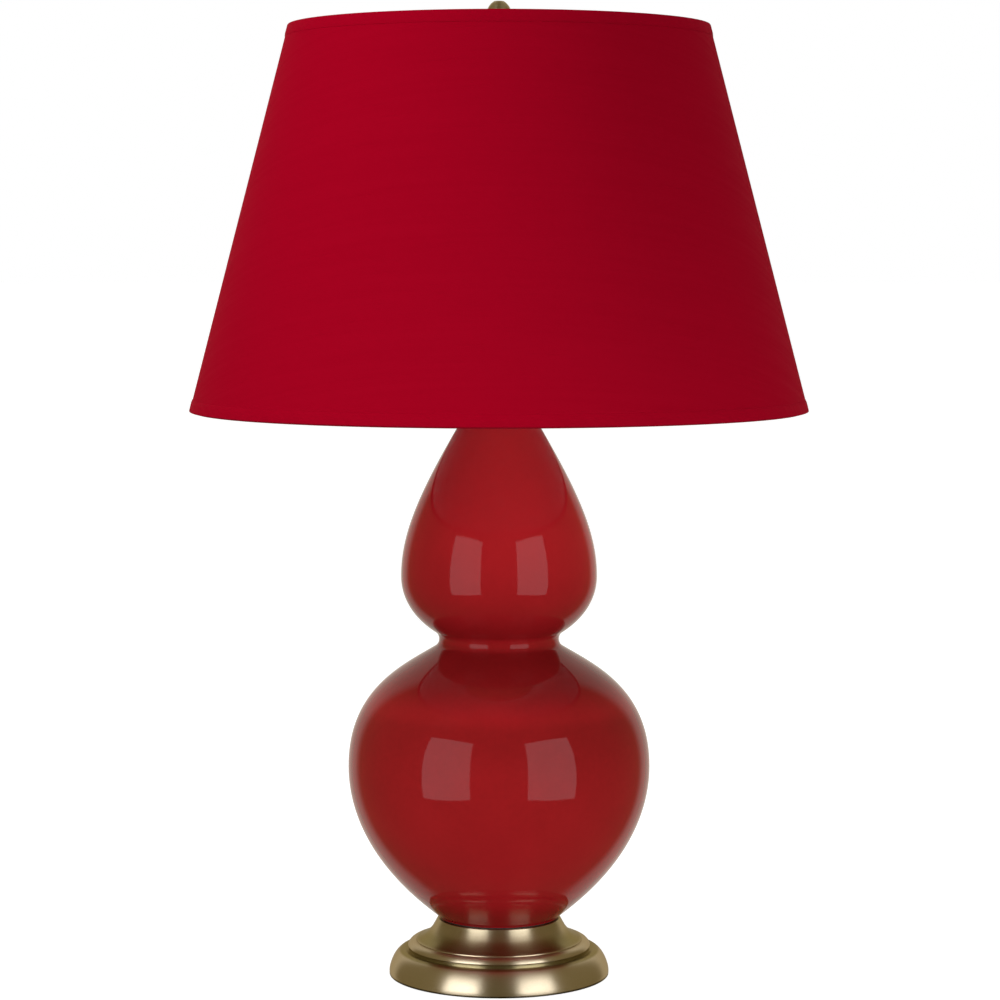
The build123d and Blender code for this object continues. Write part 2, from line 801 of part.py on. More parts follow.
def shade_liner():
    return cone_wall(fabric_thickness + glue_line, liner_inset())


def frame_ring(from_top):
    radius, height = ring_centre(from_top)
    return Pos(0, 0, height) * Torus(radius, frame_wire_radius)


def hem(from_top):
    """A strip of the shade's cloth folded over the edge and round the frame's wire."""
    thick = hem_thickness
    inside = liner_inset() + glue_line
    wire = inside + 2 * frame_wire_radius + glue_line
    past = 2 * frame_wire_radius + glue_line
    section = [
        (hem_height, -glue_line), (hem_height, -glue_line - thick),
        (-glue_line - thick, -glue_line - thick), (-glue_line - thick, wire + thick),
        (past, wire + thick), (past + frame_wire_radius, inside + thick),
        (hem_turn_in, inside + thick), (hem_turn_in, inside),
        (past + frame_wire_radius - thick, inside), (past, wire), (-glue_line, wire),
        (-glue_line, -glue_line),
    ]
    return turned(*[wall_point(along, inward, from_top) for along, inward in section])


def arm_line():
    """The middle of a spider arm in the X-Z plane, from the hub out and up to the top ring."""
    ring_radius, ring_height = ring_centre(True)
    height = hub_level + hub_thickness / 2
    bend = (ring_radius - spider_bend_inset, height)
    run = hypot(ring_radius - bend[0], ring_height - height)
    reach = (run - frame_wire_radius - glue_line) / run
    end = (bend[0] + (ring_radius - bend[0]) * reach, height + (ring_height - height) * reach)
    start = (hub_radius + glue_line, height)
    return FilletPolyline(*[(x, 0, z) for x, z in (start, bend, end)], radius=spider_bend)


def spider_angles():
    return [90 + arm * 360 / spider_arms for arm in range(spider_arms)]


def spider_wires(radius):
    line = arm_line()
    arm = sweep(Plane(line @ 0, z_dir=line % 0) * Circle(radius), line)
    return [Rot(0, 0, angle) * arm for angle in spider_angles()]


def spider_arm_set():
    return Compound(spider_wires(frame_wire_radius))


def spider_hub():
    return collar(stud_radius + loose, hub_radius, hub_level, hub_level + hub_thickness)


def top_hem():
    """The upper hem, with an opening for each arm of the spider."""
    strip = hem(True)
    for wire in spider_wires(frame_wire_radius + slip):
        strip -= wire
    return strip


# ---- Finial --------------------------------------------------------------------------------

def finial():
    """A turned brass knob that screws down on the stud."""
    foot = finial_bottom + finial_foot_height
    stem = (finial_stem_radius, finial_bottom + finial_stem_height)
    widest = (finial_widest_radius, finial_bottom + finial_widest_height)
    top = (finial_top_radius, finial_bottom + finial_height)
    knob = turned(
        Line((0, finial_bottom), (finial_foot_radius, finial_bottom)),
        Line((finial_foot_radius, finial_bottom), (finial_foot_radius, foot)),
        Bezier((finial_foot_radius, foot), (finial_stem_radius, foot), stem),
        Bezier(stem, (finial_stem_radius, stem[1] + finial_flare_pull),
               (widest[0], widest[1] - finial_flare_pull), widest),
        SagittaArc(widest, top, finial_crown_bow),
        Line(top, (0, top[1])), Line((0, top[1]), (0, finial_bottom)))
    socket_top = hub_level + stud_length + finial_socket_spare
    return knob - rod(stud_radius + running, finial_bottom, socket_top)


# ---- Every piece, by the name of its node ----------------------------------------------------

PIECES = {
    "felt_pad": felt_pad(),
    "base_weight": base_weight(),
    "base_shell": base_shell(),
    "cord_bushing": cord_bushing(),
    "threaded_rod": threaded_rod(),
    "rod_washer": rod_washer(),
    "rod_lock_washer": rod_lock_washer(),
    "rod_nut": rod_nut(),
    "seat_gasket": seat_gasket(),
    "ceramic_body": ceramic_body(),
    "neck_gasket": neck_gasket(),
    "vase_cap": vase_cap(),
    "check_ring": check_ring(),
    "neck_tube": neck_tube(),
    "neck_nut": neck_nut(),
    "harp_saddle": harp_saddle(),
    "socket_cap": socket_cap(),
    "cap_set_screw": cap_set_screw(),
    "socket_core": socket_core(),
    "terminal_screws": terminal_screws(),
    "socket_screw_shell": socket_screw_shell(),
    "centre_contact": centre_contact(),
    "ring_contact": ring_contact(),
    "socket_liner": socket_liner(),
    "socket_shell": socket_shell(),
    "switch_stem": switch_stem(),
    "switch_knob": switch_knob(),
    "bulb_button": bulb_button(),
    "bulb_insulator": bulb_insulator(),
    "bulb_cap": bulb_cap(),
    "bulb_glass": bulb_glass(),
    "harp_loop": harp_loop(),
    "harp_sleeve_left": harp_sleeve(-1),
    "harp_sleeve_right": harp_sleeve(1),
    "harp_stud": harp_stud(),
    "spider_hub": spider_hub(),
    "spider_arms": spider_arm_set(),
    "shade_top_ring": frame_ring(True),
    "shade_bottom_ring": frame_ring(False),
    "shade_liner": shade_liner(),
    "shade_fabric": shade_fabric(),
    "shade_top_hem": top_hem(),
    "shade_bottom_hem": hem(False),
    "finial": finial(),
}

os.makedirs("parts", exist_ok=True)
for name, piece in PIECES.items():
    export_step(piece, f"parts/{name}.step")
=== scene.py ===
"""A double gourd table lamp: glazed body, stepped brass foot and a tapered drum shade."""
import json
from math import atan2, cos, hypot, pi, radians, sin, tan

import bpy
from bpy.props import FloatProperty, FloatVectorProperty, PointerProperty
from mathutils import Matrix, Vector


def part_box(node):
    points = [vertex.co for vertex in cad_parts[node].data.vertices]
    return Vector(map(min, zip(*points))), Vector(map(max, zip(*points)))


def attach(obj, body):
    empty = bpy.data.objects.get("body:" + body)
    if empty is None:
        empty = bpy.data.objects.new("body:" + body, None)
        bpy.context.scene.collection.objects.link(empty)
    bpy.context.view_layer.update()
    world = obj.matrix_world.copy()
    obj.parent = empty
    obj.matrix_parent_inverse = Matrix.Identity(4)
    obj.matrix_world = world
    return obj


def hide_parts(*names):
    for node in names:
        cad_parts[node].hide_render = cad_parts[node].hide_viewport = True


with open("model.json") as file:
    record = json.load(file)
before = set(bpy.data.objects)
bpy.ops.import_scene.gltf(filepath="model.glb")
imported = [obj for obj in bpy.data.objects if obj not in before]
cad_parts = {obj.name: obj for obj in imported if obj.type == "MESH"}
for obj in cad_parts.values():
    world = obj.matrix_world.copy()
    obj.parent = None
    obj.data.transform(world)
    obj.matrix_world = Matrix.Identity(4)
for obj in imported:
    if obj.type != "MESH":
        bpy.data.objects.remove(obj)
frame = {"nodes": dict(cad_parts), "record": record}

bl_info = {
    "name": "Double gourd lamp",
    "version": (1, 0, 0),
    "blender": (4, 5, 0),
    "location": "View3D > Sidebar > Lamp",
    "description": "Dresses the lamp's solids and sets up a plain studio",
    "category": "Add Mesh",
}

MM = 0.001
TURN = 2 * pi


# ---- Sizes and colours that a user would change ---------------------------------------------

def length(name, description, millimetres):
    """A length property, given in millimetres and held in metres."""
    return FloatProperty(name=name, description=description, default=millimetres * MM,
                         min=0, unit="LENGTH", precision=5)


def colour(name, description, red, green, blue):
    """A colour property, as linear values."""
    return FloatVectorProperty(name=name, description=description, default=(red, green, blue),
                               min=0, max=1, size=3, subtype="COLOR")


class GourdSizes(bpy.types.PropertyGroup):
    """The outline of the glazed body; heights are above its foot."""
    wall: length("Wall", "Thickness of the pot's wall", 6.5)
    floor_hole: length("Floor hole", "Radius of the hole for the rod", 9.0)
    foot_radius: length("Foot radius", "Radius of the foot ring", 49.0)
    foot_edge: length("Foot edge", "Rounding of the foot's edge", 0.8)
    belly_height: length("Belly height", "Height of the widest place", 124.0)
    waist_radius: length("Waist radius", "Radius of the narrowest place", 48.5)
    waist_height: length("Waist height", "Height of the narrowest place", 227.5)
    waist_notch: length("Waist notch", "Radius of the waist's round", 7.45)
    upper_radius: length("Upper radius", "Radius of the upper bulb", 79.2)
    upper_height: length("Upper height", "Height of the upper bulb's widest place", 278.6)
    mouth_radius: length("Mouth radius", "Radius of the mouth", 20.0)
    ripple: length("Ripple", "Height of the throwing ripples above the foot", 0.10)
    waver: length("Waver", "How far the wall wanders from true", 0.12)


class FootSizes(bpy.types.PropertyGroup):
    """The outline of the brass foot; drops are below its top."""
    wall: length("Wall", "Thickness of the spun shell", 1.5)
    hole: length("Rod hole", "Radius of the hole for the rod", 5.2)
    rim_radius: length("Rim radius", "Radius of the top rim", 50.2)
    cove_radius: length("Cove radius", "Radius where the cove starts", 54.6)
    cove_drop: length("Cove drop", "Drop to where the cove starts", 8.6)
    fillet_radius: length("Fillet radius", "Radius of the small step", 67.6)
    fillet_drop: length("Fillet drop", "Drop to the small step", 17.5)
    fillet_step: length("Fillet step", "Height of the small step", 0.8)
    bead_radius: length("Bead radius", "Radius of the bead", 74.3)
    bead_drop: length("Bead drop", "Drop to the bead's lower edge", 22.9)
    groove_depth: length("Groove depth", "Depth of the groove under the bead", 0.6)
    ledge_drop: length("Ledge drop", "Drop to the floor of the groove", 26.2)
    ledge_width: length("Ledge width", "Width of the groove's floor", 1.1)
    lip_height: length("Lip height", "Height of the straight lower edge", 3.0)
    edge: length("Edge", "Width of the softened edges", 0.25)


class ShadeSizes(bpy.types.PropertyGroup):
    """The cloth of the shade and its hems."""
    cloth: length("Cloth", "Thickness of the cloth", 0.6)
    hem_height: length("Hem height", "How far the hem covers the outside", 9.2)
    hem_turn_in: length("Hem turn-in", "How far the hem reaches inside", 8.0)
    hem_cloth: length("Hem cloth", "Thickness of the hem", 0.5)
    wire: length("Wire", "Radius of the frame's wire", 1.6)
    seam_width: length("Seam width", "Width of the overlap at the back", 11.0)
    pucker: length("Pucker", "Height of the hem's small puckers", 0.18)
    ripple: length("Ripple", "How far the cloth wanders from true", 0.06)


class Finishes(bpy.types.PropertyGroup):
    """The colours that show."""
    # The glaze is mixed between these two by height, which also paints shade at the waist and under it
    # and light low on the lower bulb.
    glaze: colour("Glaze", "Where the glaze is thin", 0.435, 0.0120, 0.0168)
    glaze_deep_and_shade: colour("Deep glaze", "Where the glaze is thick", 0.158, 0.0056, 0.0062)
    cloth: colour("Cloth", "The shade's thread", 0.31, 0.0001, 0.0111)
    cloth_deep: colour("Cloth shadow", "Between the threads", 0.25, 0.0001, 0.0081)
    brass: colour("Brass", "Rubbed antique brass", 0.63, 0.54, 0.40)
    # Also the colour of the painted shade in the cove.
    brass_deep: colour("Brass patina", "The patina in the hollows", 0.33, 0.28, 0.145)


class Studio(bpy.types.PropertyGroup):
    """The camera and the light."""
    camera_height: FloatProperty(name="Camera height", description="Height of the camera",
                                 default=0.5853, unit="LENGTH")
    camera_distance: FloatProperty(name="Camera distance", description="Distance from the lamp's axis",
                                   default=2.43, unit="LENGTH")
    camera_side: length("Camera side", "How far the camera stands to the right", 0.8)
    camera_tilt: FloatProperty(name="Camera tilt", description="How far the camera looks down",
                               default=radians(4.640), subtype="ANGLE")
    lens: FloatProperty(name="Lens", description="Focal length", default=108.68, subtype="NONE")


def settings(group):
    """One of the scene's property groups for the lamp."""
    return getattr(bpy.context.scene, "lamp_" + group)


# ---- Modelling helpers -----------------------------------------------------------------------

def choose(*pieces):
    """Selects these objects alone and makes the first one active."""
    bpy.ops.object.select_all(action="DESELECT")
    for piece in pieces:
        piece.select_set(True)
    bpy.context.view_layer.objects.active = pieces[0]


def primitive(kind, name, **values):
    """A new mesh primitive of that kind, selected alone."""
    bpy.ops.object.select_all(action="DESELECT")
    getattr(bpy.ops.mesh, f"primitive_{kind}_add")(**values)
    piece = bpy.context.view_layer.objects.active
    piece.name = name
    return piece


def line(start, end):
    """A straight stroke of a section."""
    return (start, end)


def curve(start, pull, next_pull, end, steps=16):
    """A curved stroke of a section, with the pulls of its two ends."""
    return (start, pull, next_pull, end, steps)


def bowed(start, end, bow, steps=8):
    """An arc that stands a share of its chord to the left of the way from start to end."""
    run, rise = end[0] - start[0], end[1] - start[1]
    turn = 4 * atan2(2 * bow, 1)
    pull = 4 / 3 * tan(turn / 4) / (2 * sin(turn / 2))
    lean_x, lean_y = cos(turn / 2), sin(turn / 2)
    first = (start[0] + pull * (run * lean_x - rise * lean_y),
             start[1] + pull * (rise * lean_x + run * lean_y))
    last = (end[0] - pull * (run * lean_x + rise * lean_y),
            end[1] - pull * (rise * lean_x - run * lean_y))
    return curve(start, first, last, end, steps)


def path(*points):
    """Straight strokes through these points."""
    return [line(start, end) for start, end in zip(points, points[1:])]


def moved(strokes, across, up):
    """The same strokes, moved."""
    return [tuple((p[0] + across, p[1] + up) if isinstance(p, tuple) else p for p in stroke)
            for stroke in strokes]


def swung(point, reach, angle):
    """The point at a reach from another, at an angle in degrees from upright, outwards."""
    return (point[0] + reach * sin(radians(angle)), point[1] + reach * cos(radians(angle)))


def above(point, reach):
    """The point at a reach straight above another, or below it if the reach is negative."""
    return (point[0], point[1] + reach)


def drawn(name, strokes):
    """A section in the X-Z plane: its strokes as a chain of edges."""
    shape = bpy.data.curves.new(name, "CURVE")
    shape.dimensions = "3D"
    for stroke in strokes:
        if len(stroke) == 2:
            spline = shape.splines.new("POLY")
            spline.points.add(1)
            for point, (radius, height) in zip(spline.points, stroke):
                point.co = (radius, 0, height, 1)
            continue
        start, pull, next_pull, end, steps = stroke
        spline = shape.splines.new("BEZIER")
        spline.bezier_points.add(1)
        spline.resolution_u = steps
        first, last = spline.bezier_points
        for point, co, left, right in ((first, start, start, pull), (last, end, next_pull, end)):
            point.handle_left_type = point.handle_right_type = "FREE"
            point.co = (co[0], 0, co[1])
            point.handle_left = (left[0], 0, left[1])
            point.handle_right = (right[0], 0, right[1])
    piece = bpy.data.objects.new(name, shape)
    bpy.context.scene.collection.objects.link(piece)
    choose(piece)
    bpy.ops.object.convert(target="MESH")
    return bpy.context.view_layer.objects.active


def spun(name, strokes, steps):
    """A closed section turned round the lamp's axis."""
    piece = drawn(name, strokes)
    bpy.ops.object.mode_set(mode="EDIT")
    bpy.ops.mesh.select_all(action="SELECT")
    bpy.ops.mesh.remove_doubles(threshold=0.002 * MM)
    bpy.ops.mesh.spin(steps=steps, angle=TURN, center=(0, 0, 0), axis=(0, 0, 1))
    bpy.ops.mesh.select_all(action="SELECT")
    bpy.ops.mesh.remove_doubles(threshold=0.002 * MM)
    bpy.ops.mesh.normals_make_consistent(inside=False)
    bpy.ops.object.mode_set(mode="OBJECT")
    return piece


def modified(piece, kind, **values):
    """Adds a modifier with these values and applies it."""
    choose(piece)
    modifier = piece.modifiers.new(kind.title(), kind)
    for name, value in values.items():
        setattr(modifier, name, value)
    bpy.ops.object.modifier_apply(modifier=modifier.name)
    return piece


def softened(piece, width, angle=30, segments=2):
    """Rounds the piece's sharp edges."""
    return modified(piece, "BEVEL", width=width, segments=segments, limit_method="ANGLE",
                    angle_limit=radians(angle), harden_normals=False)


def wandering(piece, amount, size, depth=2):
    """Moves the surface in and out by a smooth random amount, over patches of that size."""
    clouds = bpy.data.textures.new(piece.name + " unevenness", "CLOUDS")
    clouds.noise_scale = size
    clouds.noise_depth = depth
    return modified(piece, "DISPLACE", texture=clouds, strength=amount, mid_level=0.5,
                    texture_coords="LOCAL")


def smooth(piece, angle=35):
    """Smooth shading up to that angle."""
    choose(piece)
    bpy.ops.object.shade_smooth_by_angle(angle=radians(angle))
    return piece


def placed(piece, body, slot, material, *replaced):
    """Gives a finished piece its body and material, and hides what it stands for. The slot is not
    used.
    """
    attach(piece, body)
    piece.data.materials.clear()
    piece.data.materials.append(material)
    if replaced:
        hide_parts(*replaced)
    return piece


# ---- Shader helpers --------------------------------------------------------------------------

class Graph:
    """Adds nodes to one node tree, with their sockets given as numbers or as other sockets."""

    def __init__(self, tree):
        self.tree = tree
        self.count = 0

    def add(self, kind, inputs=None, **values):
        """A new node, with its inputs by name or number and its own settings."""
        node = self.tree.nodes.new(kind)
        node.location = (180 * (self.count // 3), -220 * (self.count % 3))
        self.count += 1
        for name, value in values.items():
            setattr(node, name, value)
        for name, value in (inputs or {}).items():
            self.join(value, node.inputs[name])
        return node

    def join(self, value, socket):
        """Links a socket to another, or sets its value."""
        if isinstance(value, bpy.types.NodeSocket):
            self.tree.links.new(value, socket)
        elif socket.type == "RGBA":
            socket.default_value = (*value, 1)
        else:
            socket.default_value = value

    def math(self, operation, *values):
        """The result of a sum on one, two or three values."""
        return self.add("ShaderNodeMath", dict(enumerate(values)), operation=operation).outputs[0]

    def times(self, first, second):
        """A product of two values."""
        return self.math("MULTIPLY", first, second)

    def ramp(self, value, low, high, to_low=0.0, to_high=1.0):
        """A soft step from one value to another, as the input goes from low to high."""
        return self.add("ShaderNodeMapRange", {"Value": value, "From Min": low, "From Max": high,
                                               "To Min": to_low, "To Max": to_high},
                        interpolation_type="SMOOTHSTEP").outputs["Result"]

    def mix(self, factor, first, second, blend="MIX"):
        """Two colours mixed by a factor; sockets 6 and 7 are the node's colours, and 2 its result."""
        return self.add("ShaderNodeMix", {0: factor, 6: first, 7: second}, data_type="RGBA",
                        blend_type=blend).outputs[2]

    def noise(self, vector, scale, detail=2.0, roughness=0.5):
        """Cloudy noise from 0 to 1."""
        return self.add("ShaderNodeTexNoise", {"Vector": vector, "Scale": scale, "Detail": detail,
                                               "Roughness": roughness}).outputs["Fac"]

    def scaled(self, vector, scale):
        """A vector times another."""
        return self.add("ShaderNodeVectorMath", {0: vector, 1: scale}, operation="MULTIPLY").outputs[0]

    def parts(self, vector):
        """The three numbers of a vector."""
        return self.add("ShaderNodeSeparateXYZ", {0: vector}).outputs

    def bump(self, height, distance, strength):
        """A normal from a height; the distance is in metres."""
        return self.add("ShaderNodeBump", {"Height": height, "Distance": distance,
                                           "Strength": strength}).outputs["Normal"]

    def use(self, group, **inputs):
        """Places a node group, with its inputs by name."""
        return self.add("ShaderNodeGroup", inputs, node_tree=group).outputs

    def close(self, node, **values):
        """Gives the last node of a group its values."""
        for name, value in values.items():
            self.join(value, node.inputs[name])


SOCKETS = {"number": "NodeSocketFloat", "colour": "NodeSocketColor", "vector": "NodeSocketVector"}


def new_group(name, inputs, outputs):
    """An empty shader node group with named sockets: its graph, its inputs and its output node."""
    tree = bpy.data.node_groups.new(name, "ShaderNodeTree")
    for socket, kind in inputs.items():
        tree.interface.new_socket(socket, in_out="INPUT", socket_type=SOCKETS[kind])
    for socket, kind in outputs.items():
        tree.interface.new_socket(socket, in_out="OUTPUT", socket_type=SOCKETS[kind])
    graph = Graph(tree)
    return graph, graph.add("NodeGroupInput").outputs, graph.add("NodeGroupOutput")


def group(name, make):
    """The node group of that name, made the first time that it is asked for."""
    return bpy.data.node_groups.get(name) or make(name)


def mottle(name):
    """Cloudy patches between two colours, with a fine grain for roughness and bump."""
    graph, given, out = new_group(
        name, {"Vector": "vector", "Patch": "number", "Grain": "number", "Light": "colour",
               "Dark": "colour", "Low": "number", "High": "number"},
        {"Colour": "colour", "Roughness": "number", "Height": "number"})
    patches = graph.noise(given["Vector"], graph.math("DIVIDE", 1.0, given["Patch"]), 4.0, 0.6)
    grain = graph.noise(given["Vector"], graph.math("DIVIDE", 1.0, given["Grain"]), 3.0, 0.6)
    both = graph.math("MULTIPLY_ADD", grain, 0.35, graph.times(patches, 0.65))
    graph.close(out, Colour=graph.mix(graph.ramp(both, 0.3, 0.7), given["Dark"], given["Light"]),
                Roughness=graph.ramp(both, 0.3, 0.7, given["Low"], given["High"]), Height=grain)
    return graph.tree


def lathe_marks(name):
    """Fine rings round the axis, as a tool or a polishing wheel leaves them."""
    graph, given, out = new_group(name, {"Vector": "vector", "Pitch": "number"},
                                  {"Height": "number", "Mask": "number"})
    x, y, z = graph.parts(given["Vector"])
    across = graph.math("ADD", graph.times(x, x), graph.times(y, y))
    slope = graph.math("SUBTRACT", z, graph.math("SQRT", across))
    along = graph.math("DIVIDE", slope, given["Pitch"])
    place = graph.add("ShaderNodeCombineXYZ", {"X": graph.times(x, 14.0),
                                               "Y": graph.times(y, 14.0),
                                               "Z": along}).outputs[0]
    rings = graph.noise(place, 1.0, 3.0, 0.65)
    graph.close(out, Height=rings, Mask=graph.ramp(rings, 0.35, 0.65))
    return graph.tree


def weave(name):
    """A plain weave with thicker threads here and there, on flat cloth coordinates in metres."""
    graph, given, out = new_group(name, {"Vector": "vector", "Thread": "number"},
                                  {"Height": "number", "Slub": "number", "Shade": "number"})
    across, along, _ = graph.parts(given["Vector"])
    steps = [graph.math("DIVIDE", value, given["Thread"]) for value in (across, along)]
    waves = [graph.math("SINE", graph.times(step, pi)) for step in steps]
    threads = [graph.math("ABSOLUTE", wave) for wave in waves]
    over = graph.ramp(graph.times(waves[0], waves[1]), -0.4, 0.4)
    height = graph.math("ADD", graph.times(threads[0], over),
                        graph.times(threads[1], graph.math("SUBTRACT", 1.0, over)))
    slub = graph.noise(graph.scaled(given["Vector"], (16.0, 900.0, 1.0)), 1.0)
    streak = graph.noise(graph.scaled(given["Vector"], (5.0, 260.0, 1.0)), 1.0, 4.0, 0.6)
    graph.close(out, Height=height, Slub=graph.ramp(slub, 0.60, 0.74), Shade=streak)
    return graph.tree


def new_material(name):
    """An empty material, with its graph and the vector that its patterns follow."""
    material = bpy.data.materials.new(name)
    material.use_nodes = True
    material.node_tree.nodes.clear()
    graph = Graph(material.node_tree)
    place = graph.add("ShaderNodeTexCoord").outputs["Object"]
    return material, graph, place


def surface(graph, **inputs):
    """The Principled surface of a material, linked to its output."""
    shader = graph.add("ShaderNodeBsdfPrincipled",
                       {name.replace("_", " "): value for name, value in inputs.items()})
    graph.add("ShaderNodeOutputMaterial", {"Surface": shader.outputs[0]})
    return shader


def cloudy(graph, place, patch, grain, light, dark, rough):
    """The mottle in a material: its colour, roughness and height; patch and grain are in metres."""
    return graph.use(group("Mottle", mottle), Vector=place, Patch=patch, Grain=grain,
                     Light=light, Dark=dark, Low=rough[0], High=rough[1])


def turned_marks(graph, place, pitch):
    """The lathe marks in a material: their height and mask; the pitch is in metres."""
    return graph.use(group("Lathe marks", lathe_marks), Vector=place, Pitch=pitch)


# ---- Materials -------------------------------------------------------------------------------

def red_glaze():
    """High-gloss ruby glaze, its depth set by height: pooled glaze with painted shade at the waist, a
    painted shade band under the waist, painted light low on the lower bulb, and darker just above the
    foot.
    """
    tones = settings("finishes")
    sizes = settings("gourd")
    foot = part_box("ceramic_body")[0].z
    material, graph, place = new_material("red glaze")
    mottled = cloudy(graph, place, 0.055, 0.004, (0.0, 0.0, 0.0), (1.0, 1.0, 1.0), (0.035, 0.07))
    height = graph.parts(place)[2]
    waist = foot + sizes.waist_height
    # How deep the colour lies at each height, from 0 for the glaze colour to 1 for the deep one:
    # partly thick, pooled glaze, partly painted shade and painted light.
    # The upper bulb darker towards the waist: partly pooled glaze, partly painted shade.
    below = graph.ramp(height, waist + 0.012, waist + 0.095, 0.57, 0.0)
    # Painted shade: a darker band on the lower bulb, under the waist.
    belly = graph.times(graph.ramp(height, waist - 0.061, waist - 0.050, 1.0, 0.0),
                       graph.ramp(height, waist - 0.100, waist - 0.068, 0.06, 0.16))
    # Painted light: the lower part of the lower bulb made paler.
    thin = graph.ramp(height, foot + 0.040, foot + 0.140, 0.22, 0.0)
    # At the waist and just under it: partly pooled glaze, partly painted shade.
    pool_and_shade = graph.times(graph.ramp(height, waist - 0.050, waist - 0.027, 0.0, 0.28),
                      graph.ramp(height, waist - 0.008, waist + 0.002, 1.0, 0.0))
    # Darker just above the foot.
    run = graph.ramp(height, foot + 0.006, foot + 0.028, 0.3, 0.0)
    thick = graph.math("ADD", graph.math("SUBTRACT", graph.math("ADD", below, belly), thin),
                       graph.math("ADD", run, pool_and_shade))
    clouded = graph.math("MULTIPLY_ADD", mottled["Colour"], 0.12, thick)
    toned = graph.mix(clouded, tones.glaze, tones.glaze_deep_and_shade)
    peel = graph.noise(place, 220.0, 2.0)
    normal = graph.bump(peel, 0.00002, 0.35)
    surface(graph, Base_Color=toned, Roughness=mottled["Roughness"], Normal=normal,
            IOR=1.5, Specular_IOR_Level=0.15)
    return material


def antique_brass():
    """Satin antique brass with turning marks, patina in the hollows of its steps, painted shade in the
    cove under the body and a painted contact shadow along the lip's lower edge.
    """
    tones = settings("finishes")
    material, graph, place = new_material("antique brass")
    mottled = cloudy(graph, place, 0.03, 0.0012, tones.brass, tones.brass_deep, (0.29, 0.37))
    marks = turned_marks(graph, place, 0.00035)
    height = graph.parts(place)[2]
    low, top = (corner.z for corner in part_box("base_shell"))
    # Patina lies in the groove under the bead; the cove holds patina with painted shade, darkest low
    # in the cove; the lower edge of the lip gets a painted contact shadow.
    # The cove: patina with painted shade, darkest in its lower part.
    cove = graph.times(graph.ramp(height, top - 0.0185, top - 0.0165),
                      graph.ramp(height, top - 0.0135, top - 0.0060, 1.0, 0.35))
    groove = graph.times(graph.ramp(height, top - 0.0275, top - 0.0262),
                        graph.ramp(height, top - 0.0240, top - 0.0225, 1.0, 0.0))
    on_foot = graph.ramp(height, top, top + 0.001, 1.0, 0.0)
    patina_and_shade = graph.times(graph.math("MAXIMUM", cove, groove), on_foot)
    marks_patina_and_shade = graph.math("MULTIPLY_ADD", marks["Mask"], 0.05, graph.times(patina_and_shade, 0.85))
    tarnish_patina_and_shade = graph.math("MULTIPLY_ADD", graph.ramp(mottled["Height"], 0.3, 0.75), 0.10, marks_patina_and_shade)
    brass_patina_and_shade = graph.mix(tarnish_patina_and_shade, tones.brass, tones.brass_deep)
    # Painted contact shadow: the lip's lowest edge turned nearly black.
    lip = graph.ramp(height, low + 0.0008, low + 0.0019, 1.0, 0.0)
    toned = graph.mix(lip, brass_patina_and_shade, (0.06, 0.045, 0.02))
    normal = graph.bump(marks["Height"], 0.00002, 0.35)
    round_about = graph.add("ShaderNodeTangent", direction_type="RADIAL", axis="Z").outputs["Tangent"]
    surface(graph, Base_Color=toned, Metallic=1.0, Roughness=mottled["Roughness"], Normal=normal,
            Anisotropic=0.85, Anisotropic_Rotation=0.25, Tangent=round_about,
            Specular_Tint=(0.62, 0.54, 0.40))
    return material


def shade_cloth(name, thread, sheen):
    """Tightly woven red cloth on its own flat coordinates; the thread is in metres."""
    tones = settings("finishes")
    material, graph, _ = new_material(name)
    flat = graph.add("ShaderNodeUVMap", uv_map="Cloth").outputs["UV"]
    woven = graph.use(group("Weave", weave), Vector=flat, Thread=thread)
    mixed = graph.mix(graph.ramp(woven["Shade"], 0.3, 0.7, 0.0, 0.16), tones.cloth, tones.cloth_deep)
    slubbed = graph.mix(graph.times(woven["Slub"], 0.22), mixed, tones.cloth_deep)
    raised = graph.math("MULTIPLY_ADD", woven["Slub"], 1.2, graph.times(woven["Height"], 0.5))
    normal = graph.bump(raised, 0.00010, 0.35)
    rough = graph.ramp(woven["Shade"], 0.3, 0.7, 0.78, 0.9)
    surface(graph, Base_Color=slubbed, Roughness=rough, Normal=normal, Specular_IOR_Level=0.02,
            Sheen_Weight=sheen, Sheen_Roughness=0.3, Sheen_Tint=(0.9, 0.25, 0.25))
    return material


def felt_cloth():
    """Pressed wool felt, with hairs that lie every way."""
    material, graph, place = new_material("pressed felt")
    mottled = cloudy(graph, place, 0.012, 0.0006, (0.050, 0.045, 0.041), (0.018, 0.016, 0.015),
                     (0.9, 1.0))
    hairs = graph.noise(graph.scaled(place, (1500.0, 260.0, 800.0)), 1.0, 3.0)
    both = graph.math("ADD", hairs, mottled["Height"])
    surface(graph, Base_Color=mottled["Colour"], Roughness=mottled["Roughness"],
            Normal=graph.bump(both, 0.0003, 0.7), Sheen_Weight=0.3, Sheen_Roughness=0.5)
    return material


def plain_finish(name, light, dark, patch, grain, rough, metal=0.0, bump=0.05, rings=0.0, **more):
    """A finish with cloudy patches and a fine grain, and turning marks if it has a pitch for them;
    patch, grain, bump and rings are in millimetres."""
    material, graph, place = new_material(name)
    mottled = cloudy(graph, place, patch * MM, grain * MM, light, dark, rough)
    height = mottled["Height"]
    if rings:
        height = graph.math("ADD", height, turned_marks(graph, place, rings * MM)["Height"])
    surface(graph, Base_Color=mottled["Colour"], Roughness=mottled["Roughness"],
            Metallic=metal, Normal=graph.bump(height, bump * MM, 0.5), **more)
    return material


